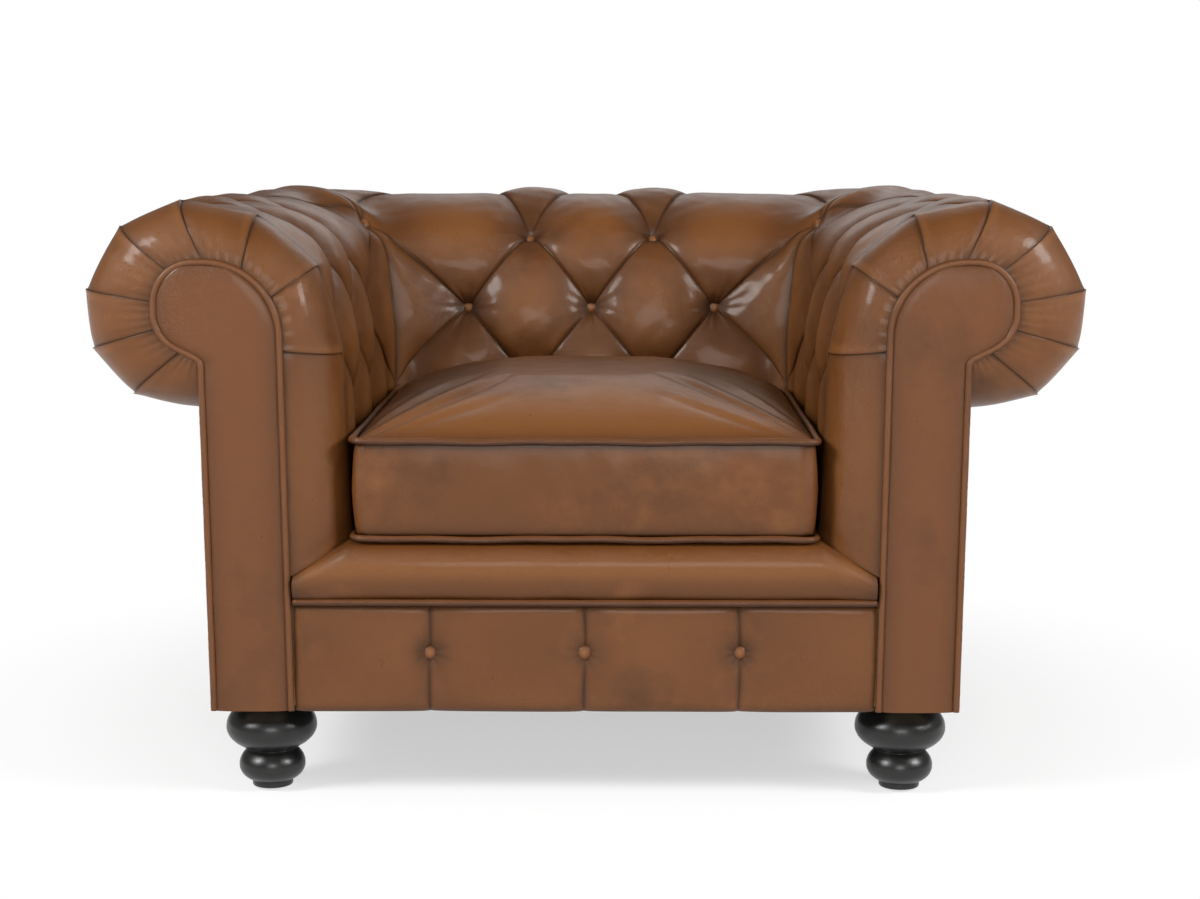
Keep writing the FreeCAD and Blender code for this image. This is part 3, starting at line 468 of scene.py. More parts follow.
def leather_grid(name, xyz, material, flip, masks=None, closed=False):
    """Mesh with one face between each four neighbours of a grid; closed joins the last column to the first."""
    rows, columns = xyz.shape[:2]
    index = np.arange(rows * columns).reshape(rows, columns)
    if closed:
        index = np.concatenate([index, index[:, :1]], 1)
    corners = [index[:-1, :-1], index[:-1, 1:], index[1:, 1:], index[1:, :-1]]
    if flip:
        corners.reverse()
    faces = np.stack([c.ravel() for c in corners], 1)
    mesh = bpy.data.meshes.new(name)
    mesh.from_pydata(xyz.reshape(-1, 3), [], faces)
    for label, values in (masks or {}).items():
        set_mask(mesh, label, np.broadcast_to(values, (rows, columns)))
    cleaned = bmesh.new()
    cleaned.from_mesh(mesh)
    bmesh.ops.remove_doubles(cleaned, verts=cleaned.verts, dist=2e-5)
    cleaned.to_mesh(mesh)
    cleaned.free()
    smooth_shaded(mesh)
    mesh.materials.append(material)
    piece = bpy.data.objects.new(name, mesh)
    scene.collection.objects.link(piece)
    return piece


arm_half_step = 0.0885
arm_middle = 0.118 + 2 * arm_half_step
arm_front = 0.530
arm_surface = {}
for side, label in both_sides:
    def arm_space(n, z, v, side=side):
        return np.stack([side * (inner_half + n), back_plane - (arm_middle - v), z], -1)

    arm_surface[side] = tufted_hide(
        f"{label}_arm_hide", (f"{label}_arm_cover", f"{label}_arm_filling"), arm_half_step, arm_middle,
        -(arm_front - arm_middle) / arm_half_step, 3.0, arm_space, side > 0)


def back_space(n, z, v):
    return np.stack([v, back_plane + n, z], -1)


back_half_step = 0.09
back_surface = tufted_hide(
    "back_hide", ("back_cover", "back_filling"), back_half_step, None, -3.0, 3.0, back_space, False)

# ---- Buttons of the arms and the back
# Steel shells under a disc of the same hide, gathered round the rim and tied down with twine. One at each
# meeting of the pleats, and one that pins each inner corner of the back.
button_radius = 0.0098


def button_set(name, node, places):
    """Domes on a ring grid: height falls as 1 - r squared, and the rim has fine gathers of the leather."""
    ring = np.array([0.001, 0.25, 0.45, 0.62, 0.76, 0.87, 0.95, 1.0, 1.03, 1.03, 0.98])
    rise = np.array([6.4, 6.1, 5.5, 4.7, 3.8, 2.8, 1.9, 1.1, 0.2, -1.0, -3.0]) / 1000
    around = np.linspace(0, 2 * np.pi, 32, endpoint=False)
    gather = 1 + 0.02 * np.sin(9 * around) * np.clip(ring[:, None] - 0.6, 0, 1)
    r = button_radius * ring[:, None] * gather
    parts = []
    for place, outward in places:
        out = Vector(outward).normalized()
        first = out.orthogonal().normalized()
        second = out.cross(first)
        grid = (
            np.asarray(place) + r[..., None] * np.cos(around)[:, None] * np.array(first)
            + r[..., None] * np.sin(around)[:, None] * np.array(second) + rise[:, None, None] * np.array(out)
        )
        # Paler on the top of each dome, painted highlight together with wear; darker at the rim, painted shade.
        masks = {"wear_and_highlight": np.clip(0.8 - ring, 0, 1)[:, None], "shade_and_patina": np.clip(ring * 3 - 2.5, 0, 0.8)[:, None]}
        parts.append(leather_grid(name, grid, button_hide, True, masks, closed=True))
    piece = joined(name, parts)
    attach(piece, "chair")
    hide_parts(node)


def joined(name, parts):
    """One object out of several, with their meshes put together."""
    whole = bmesh.new()
    for part in parts:
        whole.from_mesh(part.data)
    first = parts[0]
    whole.to_mesh(first.data)
    whole.free()
    for part in parts[1:]:
        bpy.data.objects.remove(part)
    first.name = name
    return first


for side, label in both_sides:
    places = []
    for b, level in button_spots:
        point, normal = arm_surface[side](b, level)
        places.append((point, (side * normal[0], 0, normal[1])))
    button_set(f"{label}_arm_button_set", f"{label}_arm_buttons", places)
places = []
for b, level in button_spots:
    point, normal = back_surface(b, level)
    places.append((point, (0, *normal)))
for b in (-3, 3):
    point, normal = back_surface(b, row_s[2])
    places.append((point, (np.sign(b) * normal[0], normal[0], 1.4 * normal[1])))
button_set("back_button_set", "back_buttons", places)

# ---- Pleated band round each scroll front
# The arm's hide carried forward over wadding and gathered in nine folds to the edge of the scroll board,
# where it is tacked under the piping of the facing.
front = -0.455
band_back = -0.385
piping_y = -0.4515
facing_corners = np.array([(70, 112), (77, 652), (224, 652), (224, 564), (169, 536), (163, 112)]) / 1000
facing_radii = np.array([0, 88, 50, 45, 12, 0]) / 1000


def rounded_line(corners, radii):
    """Dense points along straight runs joined by arcs, which start r / tan(half angle) before each corner."""
    points = [corners[:1]]
    for here, back, ahead, radius in zip(corners[1:-1], corners[:-2], corners[2:], radii[1:-1]):
        to_back = (back - here) / np.linalg.norm(back - here)
        to_ahead = (ahead - here) / np.linalg.norm(ahead - here)
        half = np.arccos(np.clip(to_back @ to_ahead, -1, 1)) / 2
        bisector = (to_back + to_ahead) / np.linalg.norm(to_back + to_ahead)
        centre = here + bisector * radius / np.sin(half)
        start = here + to_back * radius / np.tan(half) - centre
        end = here + to_ahead * radius / np.tan(half) - centre
        sweep = np.arctan2(start[0] * end[1] - start[1] * end[0], start @ end)
        turn = np.linspace(0, sweep, 60)[:, None]
        points.append(centre + start * np.cos(turn) + np.array([-start[1], start[0]]) * np.sin(turn))
    points.append(corners[-1:])
    return np.concatenate(points)


facing_line = rounded_line(facing_corners, facing_radii)
facing_q = run_length(facing_line)
pleat_facing = np.array([
    (72, 274), (76, 548), (89, 609), (120, 641), (164, 652),
    (206, 641), (224, 605), (221, 572), (191, 547), (171, 537),
]) / 1000
folds, columns = 9, 30
lip_over, lip_under, wadding = 0.0012, 0.0022, 0.0018
fine_q = np.linspace(0, facing_q[-1], 4000)
fine_line = at_run(fine_q, facing_q, facing_line)
pleat_q = np.array([fine_q[np.argmin(np.linalg.norm(fine_line - p, axis=1))] for p in pleat_facing])

for side, label in both_sides:
    k = np.linspace(0, 1, columns)
    w = 0.3 * k + 0.7 * (1 - np.cos(np.pi * k)) / 2
    bay = np.repeat(np.arange(folds), columns)
    w = np.tile(w, folds)
    s = pleat_s[bay] + (pleat_s[bay + 1] - pleat_s[bay]) * w
    q = pleat_q[bay] + (pleat_q[bay + 1] - pleat_q[bay]) * w
    inner = at_run(q, facing_q, facing_line)
    outer = band_line(s)
    phi = np.concatenate([np.linspace(0, np.pi / 2, 56), [np.pi / 2]])[:, None]
    reach = outer - inner
    length = np.linalg.norm(reach, axis=1)
    way = reach / length[:, None]
    run = band_back - piping_y
    radial = length * np.sin(phi) ** 0.94
    depth_y = piping_y + run * (1 - np.cos(phi)) * np.ones_like(length)
    depth_y[-1] += 0.005
    facing_up = np.stack(np.broadcast_arrays(run * np.sin(phi), length * np.cos(phi)), -1)
    facing_up /= np.linalg.norm(facing_up, axis=-1)[..., None]
    run_along = pleat_s[bay + 1] - pleat_s[bay]
    after, before = w * run_along, (1 - w) * run_along
    first, last = bay == 0, bay == folds - 1
    grow = 0.35 + 0.65 * np.sin(phi)
    lip = lip_over * np.exp(-after / 0.014) * ~first - lip_under * np.exp(-before / 0.008) * ~last
    lip = lip * grow * np.where(phi > 1.5, 0.3, 1.0)
    swell = wadding * np.sin(np.pi * w) ** 0.8 * np.sin(2 * phi)
    gather = 0.0005 * np.sin(9 * np.pi * w + bay) * np.exp(-phi / 0.35)
    creep = 0.0008 * np.sin(7.3 * s * 10 + 2 * np.sin(phi * 3)) * np.sin(phi * 4 + s * 31)
    height = lip + swell + gather + creep * np.cos(phi) * np.sin(phi)
    height[-1] = -0.0015
    n = inner[:, 0] + way[:, 0] * (radial + height * facing_up[..., 0])
    z = inner[:, 1] + way[:, 1] * (radial + height * facing_up[..., 0])
    y = depth_y - height * facing_up[..., 1]
    # Painted shade: darker under the lip of each pleat, just past each fold and along the piping.
    shade_and_patina = 0.8 * np.exp(-np.where(last, 1, before) / 0.0025) + 0.3 * np.exp(-np.where(first, 1, after) / 0.002)
    shade_and_patina = shade_and_patina + 0.6 * np.exp(-phi / 0.12)
    shade_and_patina = np.clip(shade_and_patina, 0, 1)
    # Painted highlight: paler just past each pleat and across the middle of each bay.
    wear_and_highlight = 0.5 * np.exp(-((after - 0.006) / 0.006) ** 2) * np.sin(phi) + 0.25 * np.sin(np.pi * w)
    grid = grid_of(side * (inner_half + n), y, z)
    band = leather_grid(f"{label}_scroll_band", grid, brown_hide, side < 0, {"shade_and_patina": shade_and_patina, "wear_and_highlight": wear_and_highlight})
    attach(band, "chair")
    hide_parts(f"{label}_pleated_band")

# ---- Facing of each arm front, and its piping
# A plywood scroll covered with thin wadding and hide, nailed on from behind, with a cord sewn into a strip of
# the same hide round its edge.
piping_radius, ring_step = 0.00425, 0.004
rail_bottom = 0.112


def fill_holes(mesh, turn_out=False):
    """Closes each open loop of edges with one face, and on request turns all faces outward."""
    shut = bmesh.new()
    shut.from_mesh(mesh)
    bmesh.ops.holes_fill(shut, edges=[e for e in shut.edges if e.is_boundary], sides=400)
    if turn_out:
        bmesh.ops.recalc_face_normals(shut, faces=shut.faces)
    shut.to_mesh(mesh)
    shut.free()


def corded_piping(name, node, path, body, closed=False, up=(0, 0, 1)):
    """Round cord along a path, with puckers where its strip is sewn; up stands square to the path."""
    along = run_length(path)
    count = int(along[-1] / ring_step)
    at = np.linspace(0, along[-1], count, endpoint=not closed)
    centre = at_run(at, along, path)
    if closed:
        tangent = np.roll(centre, -1, 0) - np.roll(centre, 1, 0)
    else:
        tangent = np.gradient(centre, axis=0)
    tangent /= np.linalg.norm(tangent, axis=1)[:, None]
    first = np.cross(tangent, up)
    first /= np.linalg.norm(first, axis=1)[:, None]
    second = np.cross(first, tangent)
    around = np.linspace(0, 2 * np.pi, 18, endpoint=False)
    pucker = 1 + 0.03 * np.sin(at * 520 + 2 * np.sin(at * 61)) * np.cos(at * 37) ** 2
    r = piping_radius * pucker[:, None] * (1 + 0.02 * np.sin(3 * around + at[:, None] * 90))
    ring = np.cos(around)[:, None] * first[:, None] + np.sin(around)[:, None] * second[:, None]
    grid = centre[:, None] + r[..., None] * ring
    if closed:
        grid = np.concatenate([grid, grid[:1]])
    # Painted highlight on the side of the cord turned towards up (forward on the scroll fronts), painted shade
    # on the side turned away.
    outer = 0.5 + 0.5 * np.sin(around)
    masks = {"wear_and_highlight": 0.7 * outer**2, "shade_and_patina": 0.7 * (1 - outer) ** 2}
    piece = leather_grid(name, grid, welt_hide, True, masks, closed=True)
    if not closed:
        fill_holes(piece.data)
    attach(piece, body)
    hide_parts(node)


top = np.argmax(facing_line[:, 1])
facing_top = facing_line[top, 1]
facing_edge_y = -0.4505
z = facing_top - 0.00001 - (facing_top - rail_bottom) * (1 - np.cos(np.linspace(0, np.pi / 2, 140)[:, None]))
near = np.interp(z, facing_line[: top + 1, 1], facing_line[: top + 1, 0])
away = np.interp(z, facing_line[:top:-1, 1], facing_line[:top:-1, 0])
n = near + (away - near) * np.linspace(0, 1, 60)
edge = np.clip(np.minimum(np.minimum(n - near, away - n), facing_top - z), 0, 0.04)
for side, label in both_sides:
    y = facing_edge_y - 0.0045 * (1 - np.exp(-edge / 0.006)) - 0.0022 * (1 - np.exp(-edge / 0.02))
    y = y - 0.0006 * np.sin(n * 31 + 2 * np.sin(z * 13)) * np.sin(z * 23 + side)
    # Painted shade darker along the edges under the piping, and a little paler towards the middle.
    masks = {"shade_and_patina": 0.7 * np.exp(-edge / 0.007), "wear_and_highlight": 0.25 * np.clip(edge / 0.03, 0, 1)}
    grid = grid_of(side * (inner_half + n), y, z)
    panel = leather_grid(f"{label}_facing", grid, facing_hide, side > 0, masks)
    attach(panel, "chair")
    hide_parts(f"{label}_arm_facing")
    path = grid_of(side * (inner_half + facing_line[:, 0]), piping_y, facing_line[:, 1])
    corded_piping(f"{label}_scroll_piping", f"{label}_facing_piping", path, "chair", up=(0, -1, 0))

# ---- Front border, rail panel and the piping between them
# The border is a firm padded nose under the cushion, its hide sewn to the deck cloth. The rail below is padded
# and drawn in by three upright pleats, each with a button, and a piping is nailed along the seam.
panel_half = 0.3494
border_top = 0.3157
border_low = 0.245

x = np.linspace(-panel_half, panel_half, 240)[None]
nose = np.array([
    (9, 244), (1, 252), (-4, 266), (-6.5, 282), (-4, 298),
    (4, 309), (16, 314.5), (34, 315.7), (62, 315.7), (88, 315.2),
]) / 1000
nose_curve, _, _ = smooth_through(nose, 70)
nose_y, nose_z = nose_curve[:, :1], nose_curve[:, 1:]
outside = np.clip(np.abs(x) - inner_half, 0, None)
ceiling = border_top - 0.041 * outside / 0.073 + 0.001
lift = (ceiling - border_low) / (border_top - border_low)
z = border_low + (nose_z - border_low) * lift
ripple = 0.0008 * np.sin(x * 41 + 1.5 * np.sin(x * 17)) * np.sin(nose_z * 70)
# Painted shade darker along the lower edge by the piping and at the ends; painted highlight in a band across the
# middle of the nose.
shade_and_patina = 0.8 * np.exp(-(z - border_low) / 0.006) + 0.5 * np.exp(-(panel_half - np.abs(x)) / 0.01)
masks = {"shade_and_patina": np.clip(shade_and_patina, 0, 1), "wear_and_highlight": 0.5 * np.exp(-((z - 0.287) / 0.015) ** 2)}
border = leather_grid("front_nose", grid_of(x, front + nose_y + ripple, z), brown_hide, True, masks)
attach(border, "chair")
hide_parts("front_border_cover", "front_border_pad")

panel_pleats = 0.186
panel_low, panel_high, button_z = 0.1105, 0.2415, 0.183
x = np.linspace(-panel_half, panel_half, 520)[None]
z = np.linspace(panel_low, panel_high, 90)[:, None]
depth = 0.0016 + 0.0011 * np.sin(x * 23 + 3 * np.sin(z * 9)) * np.sin(z * 31 + 2)
shade_and_patina = 0
for i in (-1, 0, 1):
    dx = x - i * panel_pleats - 0.0012 * np.sin(z * 40 + i)
    side_of = np.where(dx > 0, 1, 0.45)
    depth = depth + 0.0042 * np.exp(-np.abs(dx) / (0.02 * side_of)) + 0.0018 * np.exp(-np.abs(dx) / 0.002)
    r = np.hypot(x - i * panel_pleats, z - button_z)
    angle = np.arctan2(z - button_z, x - i * panel_pleats)
    depth = depth + 0.0045 * np.exp(-(r / 0.014) ** 2) + 0.0006 * np.sin(9 * angle + i) * np.exp(-r / 0.022)
    # Painted shade darker in each pleat and round each button.
    shade_and_patina = np.maximum(shade_and_patina, np.maximum(0.75 * np.exp(-np.abs(dx) / 0.003), 0.7 * np.exp(-(r / 0.019) ** 2)))
rolled = np.minimum(z - panel_low, panel_high - z)
depth = depth + 0.005 * np.exp(-rolled / 0.004) + 0.004 * np.exp(-(panel_half - np.abs(x)) / 0.006)
# Painted shade darker at the rolled upper and lower edges.
shade_and_patina = np.maximum(shade_and_patina, 0.5 * np.exp(-rolled / 0.005))
grid = grid_of(x, front + depth, z)
# Slightly paler on the flat face between the pleats, painted highlight.
masks = {"shade_and_patina": shade_and_patina, "wear_and_highlight": np.clip(0.3 - depth / 0.01, 0, 1)}
panel = leather_grid("front_rail_hide", grid, brown_hide, True, masks)
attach(panel, "chair")
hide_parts("front_rail_panel")
level = np.argmin(np.abs(z[:, 0] - button_z))
button_set("front_button_set", "front_rail_buttons", [
    (grid[level, np.argmin(np.abs(x[0] - i * panel_pleats))], (0, -1, 0)) for i in (-1, 0, 1)])
ends = np.array([(-panel_half, -0.453, border_low), (0, -0.4532, 0.2448), (panel_half, -0.453, border_low)])
corded_piping("rail_piping", "front_rail_piping", ends, "chair")

# ---- Outside panels
# Hide over board and thin wadding, stretched flat, closed by hand along the upright corners and under the roll.


outside_low, outside_high = 0.110, 0.502
outside_face, outside_lean, lean_height = 0.163, 0.006, 0.424


def outside_n(z):
    """Outer face below the roll: it leans out by 6 mm between the rail and the neck of the scroll."""
    return outside_face + outside_lean * (z - rail_bottom) / lean_height


def stretched_panel(name, node, length_of, to_space, flip):
    """Flat grid whose face swells by 2 mm between its edges, with faint pulls along its lower edge."""
    z = np.linspace(outside_low, outside_high, 110)[:, None]
    up = z - outside_low
    w = np.linspace(0, 1, 150)[None]
    n = outside_n(z)
    start, end = length_of(n)
    along = start + (end - start) * w
    edge = np.minimum(np.abs(along - start), np.abs(end - along))
    swell = 0.0022 * (1 - np.exp(-edge / 0.03)) * (1 - np.exp(-up / 0.02))
    pulls = 0.0005 * np.sin(along * 90 + 3 * np.sin(along * 13)) * np.exp(-up / 0.05)
    waves = 0.0009 * np.sin(along * 11 + 2 * np.sin(z * 9)) * np.sin(z * 17 + along * 5)
    tuck = 0.003 * np.exp(-edge / 0.003) + 0.003 * np.exp(-up / 0.003)
    out = n + swell + pulls + waves - tuck
    # Painted shade darker at the tucked edges and along the bottom by the rail.
    shade_and_patina = np.clip(0.6 * np.exp(-edge / 0.004) + 0.5 * np.exp(-up / 0.006), 0, 1)
    piece = leather_grid(name, to_space(out, z, along), brown_hide, flip, {"shade_and_patina": shade_and_patina, "wear_and_highlight": 0.1})
    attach(piece, "chair")
    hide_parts(node)


panel_front = -0.4495
for side, label in both_sides:
    stretched_panel(
        f"outside_{label}_hide", f"outside_{label}_arm_panel", lambda n: (panel_front, back_plane + n),
        lambda n, z, v, side=side: grid_of(side * (inner_half + n), v, z), side < 0)
stretched_panel(
    "outside_back_hide", "outside_back_panel", lambda n: (-(inner_half + n), inner_half + n),
    lambda n, z, v: grid_of(v, back_plane + n, z), True)

# ---- Seat deck
# Hair pad over the springs under a dark cloth, quilted to the burlap in five rows; it shows when the cushion
# is lifted out.


def weave_nodes():
    """Plain weave: two crossed wave textures give the height, and a noise drifts the tone."""
    group, given, result = node_group("plain_weave", ("Warp", "Weft"), {"Threads": 320.0}, ("Color", "Height"))
    place = object_place(group)
    waves = [
        add(group, "TexWave", {"Distortion": 0.6, "Vector": place, "Scale": given["Threads"]},
            bands_direction=axis).outputs["Fac"]
        for axis in ("X", "Y")
    ]
    over = maths(group, "MAXIMUM", *waves)
    share = maths(group, "MULTIPLY", over, noise(group, place, 14.0))
    feed(group, result, {"Color": mixed(group, share, given["Warp"], given["Weft"]), "Height": over})
    return group


weave_group = weave_nodes()


def cloth_material(name, warp, weft, threads):
    """A matte cloth of two thread colours through the shared weave group."""
    material, tree, shader = plain_material(name)
    colors = {"Warp": (*warp, 1), "Weft": (*weft, 1), "Threads": threads}
    weave = add(tree, "Group", colors, node_tree=weave_group).outputs
    feed(tree, shader, {
        "Base Color": weave["Color"], "Normal": bumped(tree, weave["Height"], 0.4, 0.0004),
        "Roughness": 0.88, "Sheen Weight": 0.15})
    return material


deck_cloth = cloth_material("deck_cloth", (0.045, 0.032, 0.024), (0.075, 0.055, 0.04), 260.0)
deck_half, deck_front, deck_rear, deck_top = 0.2838, -0.3646, 0.1448, 0.3145
edge_rows, edge_fall, edge_first = 8, 0.066, 0.004
x = np.linspace(-deck_half, deck_half, 190)[None]
y = np.concatenate([
    [deck_front] * edge_rows, np.linspace(deck_front, deck_rear, 170), [deck_rear] * edge_rows])[:, None]
fall = np.linspace(edge_fall, edge_first, edge_rows)
drop = np.concatenate([fall, np.zeros(170), fall[::-1]])[:, None]
inset = np.minimum(np.clip((y - deck_front) / 0.05, 0, 1), np.clip((deck_rear - y) / 0.05, 0, 1))
swell = np.sin(np.pi * np.clip((y - deck_front) / (deck_rear - deck_front), 0, 1)) ** 0.6
crown = 0.0035 * swell * np.cos(np.pi * x / 0.62)
quilt = 0
for row in (-0.27, -0.17, -0.07, 0.03, 0.11):
    quilt = quilt + 0.0035 * np.exp(-np.abs(y - row + 0.002 * np.sin(x * 60)) / 0.006)
z = deck_top + crown - quilt * inset - drop + 0.0006 * np.sin(x * 37) * np.sin(y * 41 + 1)
deck = leather_grid("seat_pad", grid_of(x, y, z), deck_cloth, False)
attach(deck, "chair")
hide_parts("seat_deck")

# ---- Seat cushion
# Foam core wrapped in feather and wadding, in a box cover of two panels, a boxing and a zip at the back. The
# filling crowns the top panel; the seams hold the edges, so the leather puckers beside them.
cushion_half = 0.2746
cushion_front, cushion_back = -0.441, 0.137
seam_low, seam_high = 0.324, 0.435
cushion_floor = 0.316
cushion_crown, corner_radius = 0.056, 0.016


def cushion_shell(crown):
    """Closed shell: rings of a rounded plan, with height crown x (1 - |u|^p)(1 - |v|^p) over the top panel."""
    middle_y, half_y = (cushion_front + cushion_back) / 2, (cushion_back - cushion_front) / 2
    corners = np.array([(0, 1), (-1, 1), (-1, -1), (1, -1), (1, 1), (0, 1)]) * (cushion_half, half_y)
    plan = rounded_line(corners, np.array([0, 1, 1, 1, 1, 0]) * corner_radius)
    reach = run_length(plan)
    even = np.linspace(0, reach[-1], 360, endpoint=False)
    plan_u = np.interp(even, reach, plan[:, 0]) / cushion_half
    plan_v = np.interp(even, reach, plan[:, 1]) / half_y
    ring = np.concatenate([np.linspace(0.002, 1, 40), np.ones(14), np.linspace(1, 0.002, 30)])[:, None]
    rise = np.concatenate([np.zeros(40), np.linspace(0, 1, 16)[1:-1], np.ones(30)])[:, None]
    u, v = ring * plan_u, ring * plan_v
    top = seam_high + crown * (1 - np.abs(u) ** 4.5) ** 0.62 * (1 - np.abs(v) ** 4.5) ** 0.62
    low = seam_low - 0.0075 * (1 - np.abs(u) ** 6) * (1 - np.abs(v) ** 6)
    z = np.where(rise == 0, top, np.where(rise == 1, low, seam_high + (seam_low - seam_high) * rise))
    bulge = 1.006 + 0.012 * np.sin(np.pi * rise)
    return grid_of(cushion_half * u * bulge, middle_y + half_y * v * bulge, z)


cushion = leather_grid("cushion", cushion_shell(cushion_crown), brown_hide, True, closed=True)
fill_holes(cushion.data, turn_out=True)


def points_of(mesh):
    """The mesh's vertices as an array."""
    flat = np.empty(len(mesh.vertices) * 3)
    mesh.vertices.foreach_get("co", flat)
    return flat.reshape(-1, 3)


def baked(piece):
    """Applies the piece's modifiers to its mesh."""
    bpy.context.view_layer.update()
    done = bpy.data.meshes.new_from_object(piece.evaluated_get(bpy.context.evaluated_depsgraph_get()))
    piece.modifiers.clear()
    piece.data = done


remesh = cushion.modifiers.new("remesh", "REMESH")
remesh.mode = "VOXEL"
remesh.voxel_size = 0.0065
baked(cushion)
rest = points_of(cushion.data)
edge_x = cushion_half - np.abs(rest[:, 0])
edge_y = np.minimum(rest[:, 1] - cushion_front, cushion_back - rest[:, 1])
rim = np.minimum(edge_x, edge_y)
at_seam = np.minimum(np.abs(rest[:, 2] - seam_high), np.abs(rest[:, 2] - seam_low))
swell_limit = 0.011
pinned = (rim < 0.009) & (at_seam < 0.006)
underside = (rest[:, 2] < seam_low - 0.002) & (rim > 0.02)
held = cushion.vertex_groups.new(name="held")
held.add(np.flatnonzero(pinned).tolist(), 1.0, "REPLACE")
held.add(np.flatnonzero(underside).tolist(), 0.6, "REPLACE")
cloth = cushion.modifiers.new("cloth", "CLOTH")
for name, value in (
    ("quality", 5), ("mass", 0.35), ("tension_stiffness", 18), ("compression_stiffness", 12),
    ("shear_stiffness", 6), ("bending_stiffness", 0.6), ("use_pressure", True),
    ("uniform_pressure_force", 4.0), ("vertex_group_mass", "held"),
):
    setattr(cloth.settings, name, value)
cloth.settings.effector_weights.gravity = 0
cloth.point_cache.frame_start, cloth.point_cache.frame_end = 1, 24
for step in range(1, 21):
    scene.frame_set(step)
swollen = bpy.data.meshes.new_from_object(cushion.evaluated_get(bpy.context.evaluated_depsgraph_get()))
moved = points_of(swollen) - rest
cushion.modifiers.clear()
scene.frame_set(1)
far = np.linalg.norm(moved, axis=1)[:, None]
rest = rest + moved * np.minimum(1, swell_limit / np.maximum(far, 1e-9))
v = (rest[:, 1] - (cushion_front + cushion_back) / 2) / ((cushion_back - cushion_front) / 2)
on_top = np.clip((rest[:, 2] - seam_high) / 0.02, 0, 1)
x, y, z = rest.T
rest[:, 2] += on_top * (
    0.0016 * np.sin(x * 9 + 2 * np.sin(y * 7)) * np.sin(y * 11 + 1.4 * np.sin(x * 6))
    + 0.0007 * np.sin(x * 31 + 3 * np.sin(y * 13)) * np.sin(y * 9 + x * 14))
boxing = np.clip(1 - np.abs(z - (seam_low + seam_high) / 2) / 0.05, 0, 1) * (rim < 0.02)
pull = 0.0011 * np.sin(x * 85 + 2.5 * np.sin(x * 23) + z * 30) * boxing * np.sin(z * 41 + 2 * np.sin(x * 17))
rest[:, 1] += np.where(y < 0, -1, 1) * pull * (edge_y < 0.02)
widest, foremost, rearmost = 0.2826, -0.4475, 0.1416
rest[:, 0] = np.clip(rest[:, 0], -widest, widest)
rest[:, 1] = np.clip(rest[:, 1], foremost, rearmost)
rest[:, 2] = np.maximum(rest[:, 2], cushion_floor)
cushion.data.vertices.foreach_set("co", rest.ravel())
# Darker along the seams, painted shade together with patina; paler over the whole top, painted highlight,
# strongest in a band near the front and the back.
seam_gap = np.hypot(np.maximum(rim, 0), at_seam)
set_mask(cushion.data, "shade_and_patina", 0.75 * np.exp(-seam_gap / 0.006))
set_mask(cushion.data, "wear_and_highlight", 0.55 * on_top * np.exp(-((np.abs(v) - 0.75) / 0.25) ** 2) + 0.2 * on_top)
smooth = cushion.modifiers.new("smooth", "SUBSURF")
smooth.levels = smooth.render_levels = 1
baked(cushion)
smooth_shaded(cushion.data)
if not cushion.data.materials:
    cushion.data.materials.append(brown_hide)
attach(cushion, "seat_cushion")
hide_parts("cushion_cover", "cushion_core")

cord_half, cord_front, cord_rear, cord_bend = 0.279, -0.445, 0.14, 0.017
plan = np.array([
    (0, cord_rear), (-cord_half, cord_rear), (-cord_half, cord_front), (cord_half, cord_front),
    (cord_half, cord_rear), (0, cord_rear),
])
plan_line = rounded_line(plan, np.array([0, 1, 1, 1, 1, 0]) * cord_bend)
reach = run_length(plan_line)
even = np.linspace(0, reach[-1], 900)
line = at_run(even, reach, plan_line)
wave = 0.0006 * np.sin(line[:, 0] * 29 + line[:, 1] * 23) + 0.0004 * np.sin(line[:, 0] * 61)
for name, node, height in (("cushion_top_cord", "cushion_top_piping", 0.4384),
                           ("cushion_low_cord", "cushion_bottom_piping", 0.3206)):
    corded_piping(name, node, np.column_stack([line, height + wave]), "seat_cushion", closed=True)

# ---- Zip of the cushion cover
# Woven tape with a row of metal teeth, sewn into the back of the boxing, and a slider with its pull.


def two_toned(tree, shader, share, first, second):
    """Base colour that drifts between two tones."""
    feed(tree, shader, {"Base Color": mixed(tree, share, (*first, 1), (*second, 1))})


def drifting_gloss(tree, shader, share, low, high):
    """Roughness that drifts between two values."""
    feed(tree, shader, {"Roughness": span(tree, share, 0.0, 1.0, low, high)})


def dress(node, material):
    """Gives a part that keeps its own shape a material."""
    nodes[node].data.materials.clear()
    nodes[node].data.materials.append(material)


zip_cloth = cloth_material("zip_cloth", (0.03, 0.018, 0.011), (0.05, 0.03, 0.018), 700.0)
zip_brass, tree, shader = plain_material("zip_brass")
feed(tree, shader, {"Metallic": 1.0, "Roughness": 0.34})
two_toned(tree, shader, noise(tree, object_place(tree), 220.0), (0.55, 0.4, 0.18), (0.2, 0.13, 0.06))
zip_y, zip_height, tape_half, tape_rise = 0.1423, 0.3795, 0.24, 0.01
x = np.linspace(-tape_half, tape_half, 240)[None]
w = np.concatenate([[-1.0], np.linspace(-1, 1, 14), [1.0]])[:, None]
y = zip_y + 0.0005 + 0.0003 * np.sin(x * 140) * w + 0.0002 * np.exp(-(w / 0.3) ** 2)
y[0], y[-1] = zip_y, zip_y
tape = leather_grid("zip_tape", grid_of(x, y, zip_height + tape_rise * w), zip_cloth, False)
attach(tape, "seat_cushion")
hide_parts("cushion_zip")

